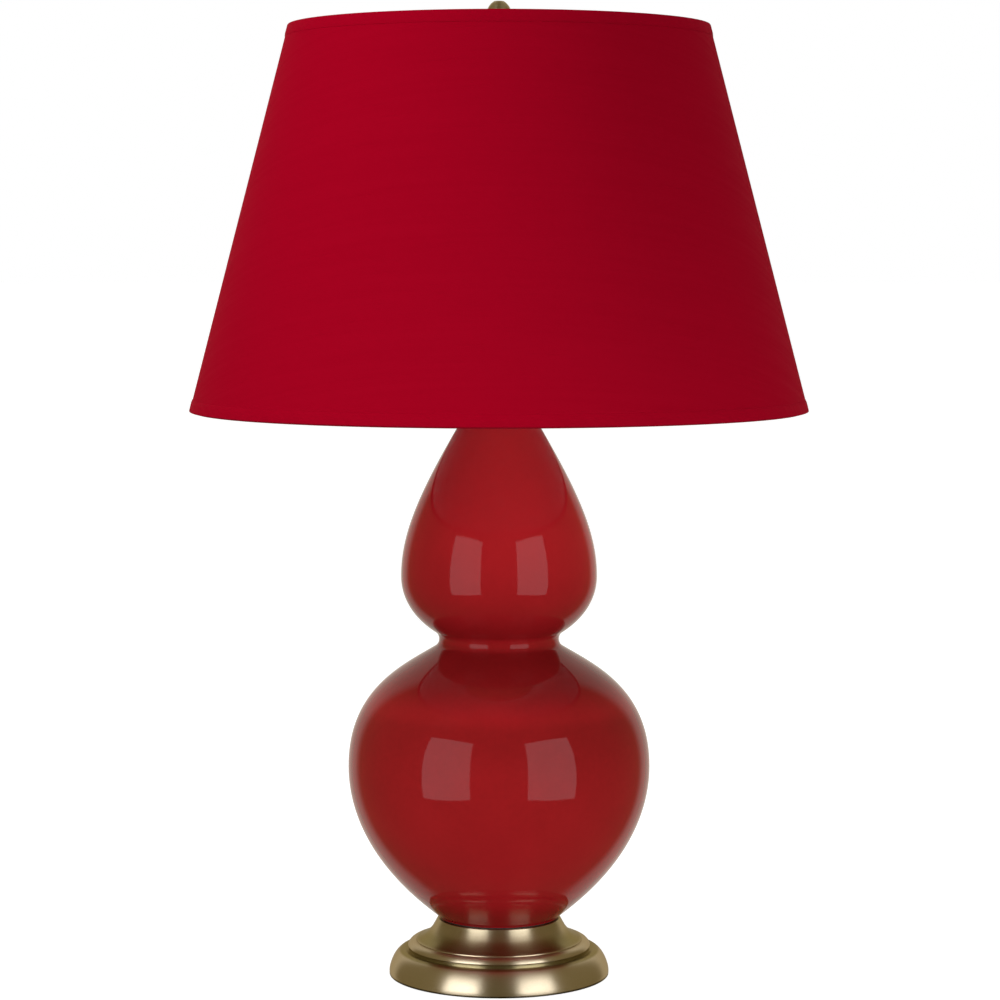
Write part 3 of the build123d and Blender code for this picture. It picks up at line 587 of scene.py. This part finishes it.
# Light and dark colour, patch, grain, range of roughness, metal, bump, pitch of the turning marks.
PLAIN = {
    "cast_iron": ((0.15, 0.14, 0.13), (0.05, 0.045, 0.042), 14, 1.4, (0.55, 0.8), 0.7, 0.4),
    "black_nylon": ((0.030, 0.030, 0.031), (0.018, 0.018, 0.019), 8, 0.5, (0.42, 0.6)),
    "zinc_steel": ((0.62, 0.63, 0.64), (0.42, 0.43, 0.45), 6, 0.7, (0.25, 0.42), 1.0, 0.03, 0.8),
    "black_rubber": ((0.030, 0.030, 0.031), (0.017, 0.017, 0.018), 9, 0.6, (0.6, 0.8)),
    "harp_brass": ((0.60, 0.45, 0.23), (0.40, 0.28, 0.12), 16, 0.8, (0.24, 0.4), 1.0, 0.03),
    "socket_brass": ((0.70, 0.53, 0.27), (0.52, 0.37, 0.17), 12, 0.7, (0.2, 0.34), 1.0, 0.02, 0.5),
    "black_phenolic": ((0.028, 0.026, 0.025), (0.014, 0.013, 0.013), 7, 0.4, (0.22, 0.38)),
    "terminal_brass": ((0.78, 0.60, 0.30), (0.58, 0.42, 0.18), 4, 0.4, (0.18, 0.3), 1.0, 0.02, 0.3),
    "contact_brass": ((0.80, 0.64, 0.34), (0.60, 0.45, 0.21), 5, 0.5, (0.2, 0.32), 1.0, 0.02),
    "fibre_paper": ((0.36, 0.30, 0.22), (0.24, 0.19, 0.13), 5, 0.35, (0.75, 0.92), 0.0, 0.12),
    "solder_metal": ((0.60, 0.60, 0.60), (0.34, 0.34, 0.35), 3, 0.5, (0.3, 0.5), 1.0, 0.1),
    "black_glass": ((0.015, 0.015, 0.022), (0.006, 0.006, 0.010), 4, 0.5, (0.04, 0.1)),
    "bulb_cap_metal": ((0.78, 0.78, 0.79), (0.58, 0.58, 0.60), 8, 0.6, (0.22, 0.38), 1.0, 0.03),
    "frosted_glass": ((0.88, 0.88, 0.86), (0.80, 0.80, 0.785), 18, 0.5, (0.22, 0.32), 0.0, 0.01),
    "frame_brass": ((0.56, 0.43, 0.23), (0.38, 0.27, 0.12), 12, 0.7, (0.26, 0.42), 1.0, 0.03),
    "white_styrene": ((0.86, 0.85, 0.82), (0.80, 0.785, 0.75), 60, 0.9, (0.42, 0.55), 0.0, 0.02),
}
COATED = {"frosted_glass": {"Coat_Weight": 0.3, "Coat_Roughness": 0.12}}


# ---- Stage -----------------------------------------------------------------------------------

PANEL_AZIMUTH = 39.2      # degrees from the camera to each softbox that shows in the gloss
PANEL_DISTANCE = 1.3      # metres from the lamp's axis
SCREEN_GLOW = 0.47        # the white screen behind the lamp, in its gloss
ROOM_GLOW = 0.24          # the warm room around it, in its gloss
ROOM_TINT = (1.0, 0.80, 0.40)
PLAIN_LIGHT = 0.33        # the even light from all round
FLOOR_LIFT = 0.87         # what brings the floor up to white for the camera
# Name, azimuth from the camera in degrees, distance, height, width and tallness in metres,
# radiance, the height that it is turned to, and its spread in degrees.
LIGHTS = (
    ("low left softbox", -37, 1.5, 0.32, 1.3, 0.56, 2.3, -0.6, 120),
    ("low right softbox", 37, 1.5, 0.32, 1.3, 0.56, 3.25, -0.6, 120),
    ("high left light", -54, 0.85, 1.08, 0.3, 0.3, 16.5, 0.68, 180),
    ("back right light", 132, 1.8, 0.9, 1.2, 1.2, 1.7, 0.5, 180),
    ("back left light", -150, 1.8, 0.9, 1.2, 1.2, 1.7, 0.5, 180),
    ("high front light", 33, 0.7, 1.4, 0.3, 0.3, 6.0, 0.72, 180),
)


def studio_world():
    """White for the camera, plain light for the lamp, and a dim room with a white screen behind it
    for the gloss."""
    world = bpy.data.worlds.new("studio")
    bpy.context.scene.world = world
    world.use_nodes = True
    world.node_tree.nodes.clear()
    graph = Graph(world.node_tree)
    x, y, z = graph.parts(graph.add("ShaderNodeTexCoord").outputs["Generated"])
    azimuth = graph.math("ABSOLUTE", graph.math("ARCTAN2", x, graph.times(y, -1.0)))
    height = graph.math("ARCSINE", z)
    screen = graph.times(graph.ramp(azimuth, radians(130), radians(144)),
                        graph.times(graph.ramp(height, radians(-58), radians(-42)),
                                   graph.ramp(height, radians(54), radians(70), 1.0, 0.0)))
    lit = graph.times(screen, SCREEN_GLOW)
    white = graph.add("ShaderNodeCombineXYZ", {"X": lit, "Y": lit, "Z": lit}).outputs[0]
    room = graph.times(graph.ramp(azimuth, radians(10), radians(70), 0.6, 1.0), ROOM_GLOW)
    dim = graph.mix(room, (0.0, 0.0, 0.0), ROOM_TINT)
    glossy = graph.mix(1.0, dim, white, "ADD")
    rays = graph.add("ShaderNodeLightPath").outputs
    plain_light = graph.mix(rays["Is Diffuse Ray"], glossy, (PLAIN_LIGHT,) * 3)
    shown = graph.mix(rays["Is Camera Ray"], plain_light, (1.0, 1.0, 1.0))
    background = graph.add("ShaderNodeBackground", {"Color": shown, "Strength": 1.0})
    graph.add("ShaderNodeOutputWorld", {"Surface": background.outputs[0]})


def soft_light(name, azimuth, distance, height, width, tall, radiance, aim, spread):
    """A rectangular soft light, turned to a point on the lamp's axis."""
    data = bpy.data.lights.new(name, "AREA")
    data.shape = "RECTANGLE"
    data.size = width
    data.size_y = tall
    data.spread = radians(spread)
    data.energy = radiance * pi * width * tall
    light = bpy.data.objects.new(name, data)
    bpy.context.scene.collection.objects.link(light)
    side = radians(azimuth)
    light.location = (distance * sin(side), -distance * cos(side), height)
    light.rotation_euler = (Vector((0, 0, aim)) - light.location).to_track_quat("-Z", "Y").to_euler()
    light.visible_camera = light.visible_glossy = False


def gloss_panel(name, azimuth):
    """A softbox that shows in the lamp's gloss and lights nothing else."""
    low, high, half_width = -0.22, 0.96, 0.43
    panel = primitive("plane", name, size=2)
    side = radians(azimuth)
    for vertex in panel.data.vertices:
        across, up = vertex.co.x * half_width, vertex.co.y
        vertex.co = (PANEL_DISTANCE * sin(side) + across * cos(side),
                     -PANEL_DISTANCE * cos(side) + across * sin(side),
                     (low + high) / 2 + up * (high - low) / 2)
    material, graph, place = new_material(name)
    glow = graph.ramp(graph.noise(place, 3.0), 0.2, 0.8, 2.9, 3.1)
    emission = graph.add("ShaderNodeEmission", {"Color": (1.0, 1.0, 1.0), "Strength": glow})
    graph.add("ShaderNodeOutputMaterial", {"Surface": emission.outputs[0]})
    panel.data.materials.append(material)
    panel.visible_camera = panel.visible_diffuse = panel.visible_shadow = False


def floor_material():
    """Pale floor: lit for the shadow, and lifted to white for the camera."""
    material, graph, place = new_material("pale floor")
    mottled = cloudy(graph, place, 0.4, 0.02, (0.43, 0.43, 0.43), (0.39, 0.39, 0.39), (0.7, 0.8))
    rays = graph.add("ShaderNodeLightPath").outputs
    surface(graph, Base_Color=mottled["Colour"], Roughness=mottled["Roughness"],
            Specular_IOR_Level=0.1, Emission_Color=(1.0, 1.0, 1.0),
            Emission_Strength=graph.times(rays["Is Camera Ray"], FLOOR_LIFT))
    return material


class LAMP_OT_studio(bpy.types.Operator):
    """Camera, pale floor, soft lights and the world"""
    bl_idname = "lamp.studio"
    bl_label = "Studio"

    def execute(self, context):
        studio = settings("studio")
        scene = context.scene
        scene.view_settings.view_transform = "Standard"
        data = bpy.data.cameras.new("camera")
        data.lens = studio.lens
        data.sensor_width = 36
        data.clip_end = 200
        camera = bpy.data.objects.new("camera", data)
        scene.collection.objects.link(camera)
        camera.location = (studio.camera_side, -studio.camera_distance, studio.camera_height)
        camera.rotation_euler = (pi / 2 - studio.camera_tilt, 0, 0)
        scene.camera = camera
        floor = primitive("circle", "floor", vertices=96, radius=60, fill_type="TRIFAN")
        floor.data.materials.append(floor_material())
        floor.visible_glossy = False
        studio_world()
        gloss_panel("left panel", -PANEL_AZIMUTH)
        gloss_panel("right panel", PANEL_AZIMUTH)
        for light in LIGHTS:
            soft_light(*light)
        return {"FINISHED"}


# ---- Body ------------------------------------------------------------------------------------

def gourd_strokes(sizes, belly_radius, bottom, top):
    """The body's side from the floor hole, round the foot and up to the mouth.

    A curve leaves each of its ends by a pull: how far it heads that way before it turns.
    """
    foot_pull, foot_lean = 12.9 * MM, 48
    belly_pull_down, belly_pull_up = 70.8 * MM, 62.0 * MM
    shoulder_pull, skirt_pull = 31.2 * MM, 21.7 * MM
    upper_pull_down, upper_pull_up = 17.1 * MM, 38.6 * MM
    mouth_pull, mouth_lean = 79.8 * MM, 30.8
    edge = sizes.foot_edge
    tread = (sizes.foot_radius - edge, bottom)
    foot = (sizes.foot_radius, bottom + edge)
    belly = (belly_radius, bottom + sizes.belly_height)
    notch = (sizes.waist_radius + sizes.waist_notch, bottom + sizes.waist_height)
    low_turn, high_turn = 58.4, 57.1        # degrees of the waist's round below and above its middle
    low, high = radians(low_turn), radians(high_turn)
    shoulder = (notch[0] - sizes.waist_notch * cos(low), notch[1] - sizes.waist_notch * sin(low))
    skirt = (notch[0] - sizes.waist_notch * cos(high), notch[1] + sizes.waist_notch * sin(high))
    waist = (sizes.waist_radius, notch[1])
    upper = (sizes.upper_radius, bottom + sizes.upper_height)
    mouth = (sizes.mouth_radius, top)
    low_pull = 4 / 3 * tan(low / 4) * sizes.waist_notch
    high_pull = 4 / 3 * tan(high / 4) * sizes.waist_notch
    return [
        line((sizes.floor_hole, bottom), tread),
        bowed(tread, foot, -0.2071, 4),
        curve(foot, swung(foot, foot_pull, foot_lean), above(belly, -belly_pull_down), belly, 44),
        curve(belly, above(belly, belly_pull_up),
              swung(shoulder, shoulder_pull, 180 - low_turn), shoulder, 40),
        curve(shoulder, swung(shoulder, low_pull, -low_turn), above(waist, -low_pull), waist, 12),
        curve(waist, above(waist, high_pull), swung(skirt, high_pull, 180 + high_turn), skirt, 12),
        curve(skirt, swung(skirt, skirt_pull, high_turn), above(upper, -upper_pull_down), upper, 24),
        curve(upper, above(upper, upper_pull_up),
              swung(mouth, mouth_pull, 180 - mouth_lean), mouth, 44),
    ]


class LAMP_OT_gourd_body(bpy.types.Operator):
    """The glazed body, thrown on a wheel: ripples above its foot and a slightly uneven wall"""
    bl_idname = "lamp.gourd_body"
    bl_label = "Gourd body"

    def execute(self, context):
        sizes = settings("gourd")
        low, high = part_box("ceramic_body")
        body = spun("gourd_body", gourd_strokes(sizes, high.x, low.z, high.z), 200)
        wandering(body, sizes.waver, 0.07, 1)
        self.rippled(body, sizes, low.z)
        modified(body, "SOLIDIFY", thickness=sizes.wall, offset=-1, use_even_offset=True)
        placed(smooth(body, 50), "lamp", "red_glaze", red_glaze(), "ceramic_body")
        return {"FINISHED"}

    def rippled(self, body, sizes, foot):
        """Shallow rings in the lowest part of the wall, which wander round the pot."""
        start, end, pitch = foot + 14 * MM, foot + 42 * MM, 7.5 * MM
        for vertex in body.data.vertices:
            place = vertex.co
            if start < place.z < end:
                angle = atan2(place.y, place.x)
                share = sin(pi * (place.z - start) / (end - start)) ** 2
                drift = 1.6 * sin(3 * angle + 0.7) + 0.8 * sin(7 * angle)
                wave = sin(TURN * place.z / pitch + drift)
                vertex.co += vertex.normal * (sizes.ripple * share * wave / 2)


# ---- Foot ------------------------------------------------------------------------------------

def foot_strokes(sizes, lip_radius, lip_bottom, top):
    """The brass foot's outside, from the rod's hole to the lip."""
    edge = 0.8 * MM                                     # the rim's rounding
    ovolo_out, ovolo_up, lip_pull = 9.3 * MM, 3.6 * MM, 4.0 * MM    # pulls of the large round
    rim_top = (sizes.rim_radius - edge, top)
    rim = (sizes.rim_radius, top - edge)
    cove = (sizes.cove_radius, top - sizes.cove_drop)
    fillet = (sizes.fillet_radius, top - sizes.fillet_drop)
    step = (sizes.fillet_radius, fillet[1] - sizes.fillet_step)
    bead = (sizes.bead_radius, top - sizes.bead_drop)
    groove = (bead[0] - sizes.groove_depth, bead[1] - sizes.groove_depth)
    ledge_in = (groove[0], top - sizes.ledge_drop)
    ledge_out = (ledge_in[0] + sizes.ledge_width, ledge_in[1])
    lip = (lip_radius, lip_bottom + sizes.lip_height)
    return [
        line((sizes.hole, top), rim_top),
        bowed(rim_top, rim, 0.2071, 4),
        line(rim, cove),
        bowed(cove, fillet, -0.08, 8),
        line(fillet, step),
        bowed(step, bead, 0.2, 10),
        line(bead, groove),
        line(groove, ledge_in),
        line(ledge_in, ledge_out),
        curve(ledge_out, (ledge_out[0] + ovolo_out, ledge_out[1] + ovolo_up),
              above(lip, lip_pull), lip, 22),
        line(lip, (lip_radius, lip_bottom)),
    ]


class LAMP_OT_foot_shell(bpy.types.Operator):
    """The spun brass foot, with softened edges and the hole for the cord's bushing"""
    bl_idname = "lamp.foot_shell"
    bl_label = "Brass foot"

    def execute(self, context):
        sizes = settings("foot")
        low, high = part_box("base_shell")
        outside = foot_strokes(sizes, high.x, low.z, high.z)
        inside = moved(outside, -sizes.wall, -sizes.wall)
        inside[0] = line((sizes.hole, high.z - sizes.wall), inside[0][1])
        inside[-1] = line(inside[-1][0], (inside[-1][0][0], low.z))
        ends = [line(outside[-1][1], inside[-1][1]), line(inside[0][0], outside[0][0])]
        shell = spun("foot_shell", outside + inside + ends, 224)
        softened(shell, sizes.edge, 24)
        self.bored(shell)
        placed(smooth(shell, 32), "lamp", "antique_brass", antique_brass(), "base_shell")
        return {"FINISHED"}

    def bored(self, shell):
        """Cuts the hole that the cord's bushing sits in."""
        low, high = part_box("cord_bushing")
        radius = 5.1 * MM
        drill = primitive("cylinder", "drill", vertices=48, radius=radius, depth=0.05,
                          location=(0, high.y, (low.z + high.z) / 2), rotation=(pi / 2, 0, 0))
        modified(shell, "BOOLEAN", object=drill, operation="DIFFERENCE", solver="EXACT")
        bpy.data.objects.remove(drill)


class LAMP_OT_felt(bpy.types.Operator):
    """The felt under the foot, with a soft, slightly ragged edge"""
    bl_idname = "lamp.felt"
    bl_label = "Felt"

    def execute(self, context):
        low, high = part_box("felt_pad")
        felt = primitive("cylinder", "felt_disc", vertices=160, radius=high.x,
                         depth=high.z - low.z, location=(0, 0, (low.z + high.z) / 2))
        bpy.ops.object.transform_apply(location=True, rotation=True, scale=True)
        softened(felt, 0.7 * MM, 60, 3)
        for vertex in felt.data.vertices:
            angle = atan2(vertex.co.y, vertex.co.x)
            ragged = 0.15 * sin(23 * angle) + 0.12 * sin(57 * angle + 1) + 0.08 * sin(91 * angle)
            if hypot(vertex.co.x, vertex.co.y) > high.x - 2 * MM:
                vertex.co.xy *= 1 + (ragged - 0.3) * MM / high.x
        placed(smooth(felt, 40), "lamp", "felt", felt_cloth(), "felt_pad")
        return {"FINISHED"}


# ---- Shade -----------------------------------------------------------------------------------

THREAD = 0.55 * MM
GAP = 0.05 * MM       # between a cloth and what it lies on


class Cone:
    """The shade's outer surface, and the flat piece that it unrolls to."""

    def __init__(self):
        low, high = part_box("shade_liner")
        self.sizes = settings("shade")
        inset = self.sizes.cloth + GAP
        self.run, self.rise = 79.9 * MM, 305.7 * MM
        self.slope = hypot(self.run, self.rise)
        self.bottom = high.x + inset * self.rise / self.slope
        self.top = self.bottom - self.run
        self.low = low.z + inset * self.run / self.slope
        self.high = self.low + self.rise

    def point(self, along, inward, from_top=False):
        """A place on the section: a distance along the slope from an edge, and inwards."""
        up = (-self.run / self.slope, self.rise / self.slope)
        into = (-self.rise / self.slope, -self.run / self.slope)
        start = (self.bottom, self.low)
        if from_top:
            up = (-up[0], -up[1])
            start = (self.top, self.high)
        return tuple(start[i] + along * up[i] + inward * into[i] for i in (0, 1))

    def unrolled(self, place):
        """Where a point of the cone lies on the flat cloth, whose middle is at the front."""
        apex = self.low + self.bottom * self.rise / self.run
        reach = hypot(hypot(place.x, place.y), apex - place.z)
        angle = atan2(place.x, -place.y) * self.run / self.slope
        return (reach * sin(angle), -reach * cos(angle))

    def flat_map(self, piece, turned=0.0):
        """Gives the piece its flat cloth coordinates, as a UV map that may be turned."""
        layer = piece.data.uv_layers.new(name="Cloth")
        c, s = cos(turned), sin(turned)
        seam_jump = 0.3       # a face wider than this on the flat cloth crosses its cut at the back
        for face in piece.data.polygons:
            spots = [self.unrolled(piece.data.vertices[v].co) for v in face.vertices]
            reach = [spot[0] for spot in spots]
            crosses = max(reach) - min(reach) > seam_jump
            for loop, spot in zip(face.loop_indices, spots):
                across = abs(spot[0]) if crosses else spot[0]
                layer.data[loop].uv = (c * across - s * spot[1], s * across + c * spot[1])


class LAMP_OT_shade_cloth(bpy.types.Operator):
    """The cloth on the outside of the shade, with its overlapped seam at the back"""
    bl_idname = "lamp.shade_cloth"
    bl_label = "Shade cloth"

    def execute(self, context):
        cone = Cone()
        cloth = primitive("cone", "shade_cloth", vertices=256, radius1=cone.bottom,
                          radius2=cone.top, depth=cone.rise, end_fill_type="NOTHING",
                          location=(0, 0, (cone.low + cone.high) / 2))
        bpy.ops.object.transform_apply(location=True, rotation=True, scale=True)
        bpy.ops.object.mode_set(mode="EDIT")
        bpy.ops.mesh.select_mode(type="EDGE")
        bpy.ops.mesh.select_all(action="DESELECT")
        bpy.ops.object.mode_set(mode="OBJECT")
        for edge in cloth.data.edges:
            low, high = (cloth.data.vertices[end].co.z for end in edge.vertices)
            edge.select = abs(high - low) > cone.rise / 2
        bpy.ops.object.mode_set(mode="EDIT")
        bpy.ops.mesh.subdivide(number_cuts=39)
        bpy.ops.object.mode_set(mode="OBJECT")
        wandering(cloth, cone.sizes.ripple, 0.11, 1)
        cone.flat_map(cloth)
        modified(cloth, "SOLIDIFY", thickness=cone.sizes.cloth, offset=-1, use_even_offset=True)
        material = shade_cloth("red cloth", THREAD, 0.015)
        placed(smooth(cloth, 40), "shade", "red_fabric", material, "shade_fabric")
        placed(self.seam(cone), "shade", "red_fabric", material)
        return {"FINISHED"}

    def seam(self, cone):
        """The folded edge of the cloth, lapped over its start at the back."""
        sizes = cone.sizes
        margin = sizes.hem_height - 1.0 * MM
        foot = cone.point(margin, 0)
        head = cone.point(margin, 0, True)
        seam = primitive("grid", "shade_seam", x_subdivisions=6, y_subdivisions=60, size=1)
        for vertex in seam.data.vertices:
            share = vertex.co.y + 0.5
            radius = foot[0] + (head[0] - foot[0]) * share + GAP
            height = foot[1] + (head[1] - foot[1]) * share
            wobble = 0.25 * MM * sin(19 * share) + 0.15 * MM * sin(47 * share)
            angle = (vertex.co.x * sizes.seam_width + wobble) / radius
            vertex.co = (-radius * sin(angle), radius * cos(angle), height)
        seam.data.update()
        face = seam.data.polygons[0]
        if face.normal.xy.dot(face.center.xy) < 0:      # the faces have to look outwards
            seam.data.flip_normals()
        cone.flat_map(seam)
        modified(seam, "SOLIDIFY", thickness=0.45 * MM, offset=1, use_even_offset=True)
        softened(seam, 0.15 * MM, 60)
        return smooth(seam, 40)


class LAMP_OT_shade_hems(bpy.types.Operator):
    """The strips of cloth folded over both edges of the shade, with small puckers"""
    bl_idname = "lamp.shade_hems"
    bl_label = "Shade hems"

    def execute(self, context):
        cone = Cone()
        material = shade_cloth("red hem cloth", THREAD, 0.03)
        for node, from_top in (("shade_top_hem", True), ("shade_bottom_hem", False)):
            hem = self.hem(node + "_strip", cone, from_top)
            placed(hem, "shade", "red_hem", material, node)
        return {"FINISHED"}

    def hem(self, name, cone, from_top):
        """One hem: up the outside, round the wire in the fold, and along the inside."""
        sizes = cone.sizes
        thick, wire = sizes.hem_cloth, sizes.wire
        inside = 1.55 * MM              # the cloth and the lining that it is folded over
        deep = inside + 2 * wire + GAP
        past = 2 * wire + GAP
        # Places on the section: how far along the slope from the edge, and how far inwards.
        spots = [
            (sizes.hem_height, -GAP), (sizes.hem_height - 0.1 * MM, -GAP - thick * 0.3),
            (sizes.hem_height - 2.5 * MM, -GAP - thick), (0.4 * MM, -GAP - thick),
            (-GAP - thick * 0.7, -GAP - thick * 0.5), (-GAP - thick, 0.6 * MM),
            (-GAP - thick, deep - 0.6 * MM), (-GAP - thick * 0.5, deep + thick * 0.5),
            (0.8 * MM, deep + thick), (past - 0.6 * MM, deep + thick * 0.8),
            (past + wire, inside + thick), (sizes.hem_turn_in, inside + thick),
            (sizes.hem_turn_in, inside), (past + wire - thick, inside),
            (past - 0.4 * MM, deep - 0.4 * MM), (past - 1.0 * MM, deep),
            (0.2 * MM, deep), (-GAP, deep - 0.4 * MM), (-GAP, -GAP),
        ]
        section = [cone.point(along, inward, from_top) for along, inward in spots]
        hem = spun(name, path(*section, section[0]), 256)
        softened(hem, 0.12 * MM, 35)
        self.puckered(hem, cone, from_top)
        cone.flat_map(hem, pi / 4)
        return smooth(hem, 45)

    def puckered(self, hem, cone, from_top):
        """Small folds across the outer leg, strongest at its free edge."""
        edge = cone.point(0, 0, from_top)
        outer = cone.point(0, -0.4 * MM, from_top)
        for vertex in hem.data.vertices:
            place = vertex.co
            radius = hypot(place.x, place.y)
            along = abs(place.z - edge[1]) / cone.rise * cone.slope
            wall = outer[0] + (cone.run / cone.rise) * (edge[1] - place.z)
            if radius > wall - 0.25 * MM:
                angle = atan2(place.y, place.x)
                folds = (sin(83 * angle) + sin(131 * angle + 1.3) + sin(59 * angle + 0.4)) / 3
                share = min(1.0, along / cone.sizes.hem_height)
                vertex.co.xy *= 1 + cone.sizes.pucker * share * max(0.0, folds) / radius


# ---- Finial ----------------------------------------------------------------------------------

class LAMP_OT_finial_knob(bpy.types.Operator):
    """The turned brass knob on top, with softened edges"""
    bl_idname = "lamp.finial_knob"
    bl_label = "Finial"

    def execute(self, context):
        low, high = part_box("finial")
        bottom, top = low.z, high.z
        foot_radius, stem_radius, bore = 6.6 * MM, 4.5 * MM, 3.23 * MM
        foot = bottom + 2.6 * MM
        stem = (stem_radius, bottom + 8.5 * MM)
        widest = (high.x, bottom + 21.5 * MM)
        neck_pull = 4.2 * MM
        crown = (3.6 * MM, top)
        socket = bottom + 11.2 * MM     # the end of the blind hole for the harp's stud
        strokes = [
            *path((bore, bottom), (foot_radius, bottom), (foot_radius, foot)),
            curve((foot_radius, foot), (stem_radius, foot), (stem_radius, foot), stem, 12),
            curve(stem, above(stem, neck_pull), above(widest, -neck_pull), widest, 16),
            bowed(widest, crown, -0.09, 12),
            line(crown, (0, top)),
            *path((0, socket), (bore, socket), (bore, bottom)),
        ]
        knob = smooth(softened(spun("finial_knob", strokes, 96), 0.3 * MM, 30), 35)
        placed(knob, "finial", "antique_brass", bpy.data.materials["antique brass"], "finial")
        return {"FINISHED"}


# ---- Everything else -------------------------------------------------------------------------

class LAMP_OT_inner_finishes(bpy.types.Operator):
    """Materials for the solids that show as they are"""
    bl_idname = "lamp.inner_finishes"
    bl_label = "Other finishes"

    def execute(self, context):
        made = {"antique_brass": bpy.data.materials["antique brass"]}
        for part in frame["record"]["subparts"]:
            piece, slot = frame["nodes"][part["node"]], part["material_slot"]
            if piece.hide_render:       # a piece of the scene stands for it
                continue
            if slot not in made:
                made[slot] = plain_finish(slot.replace("_", " "), *PLAIN[slot], **COATED.get(slot, {}))
            for holder in piece.material_slots:
                holder.material = made[slot]
        return {"FINISHED"}


# ---- Panel and registration ------------------------------------------------------------------

OPERATORS = (
    LAMP_OT_studio, LAMP_OT_gourd_body, LAMP_OT_foot_shell, LAMP_OT_felt, LAMP_OT_shade_cloth,
    LAMP_OT_shade_hems, LAMP_OT_finial_knob, LAMP_OT_inner_finishes,
)
GROUPS = {"gourd": GourdSizes, "foot": FootSizes, "shade": ShadeSizes, "finishes": Finishes,
          "studio": Studio}


class LAMP_PT_panel(bpy.types.Panel):
    """The lamp's sizes, colours and steps"""
    bl_idname = "LAMP_PT_panel"
    bl_label = "Double gourd lamp"
    bl_space_type = "VIEW_3D"
    bl_region_type = "UI"
    bl_category = "Lamp"

    def draw(self, context):
        for operator in OPERATORS:
            self.layout.operator(operator.bl_idname)
        for name, kind in GROUPS.items():
            box = self.layout.box()
            box.label(text=name.title())
            for key in kind.__annotations__:
                box.prop(settings(name), key)


def register():
    """Makes the classes and the scene's property groups known."""
    for kind in (*GROUPS.values(), *OPERATORS, LAMP_PT_panel):
        bpy.utils.register_class(kind)
    for name, kind in GROUPS.items():
        setattr(bpy.types.Scene, "lamp_" + name, PointerProperty(type=kind))


def unregister():
    """Takes them away again."""
    for name in GROUPS:
        delattr(bpy.types.Scene, "lamp_" + name)
    for kind in (*GROUPS.values(), *OPERATORS, LAMP_PT_panel):
        bpy.utils.unregister_class(kind)


def main():
    """Dresses the lamp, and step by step."""
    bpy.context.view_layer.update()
    register()
    for operator in OPERATORS:
        space, name = operator.bl_idname.split(".")
        getattr(getattr(bpy.ops, space), name)()


if __name__ == "__main__":
    main()
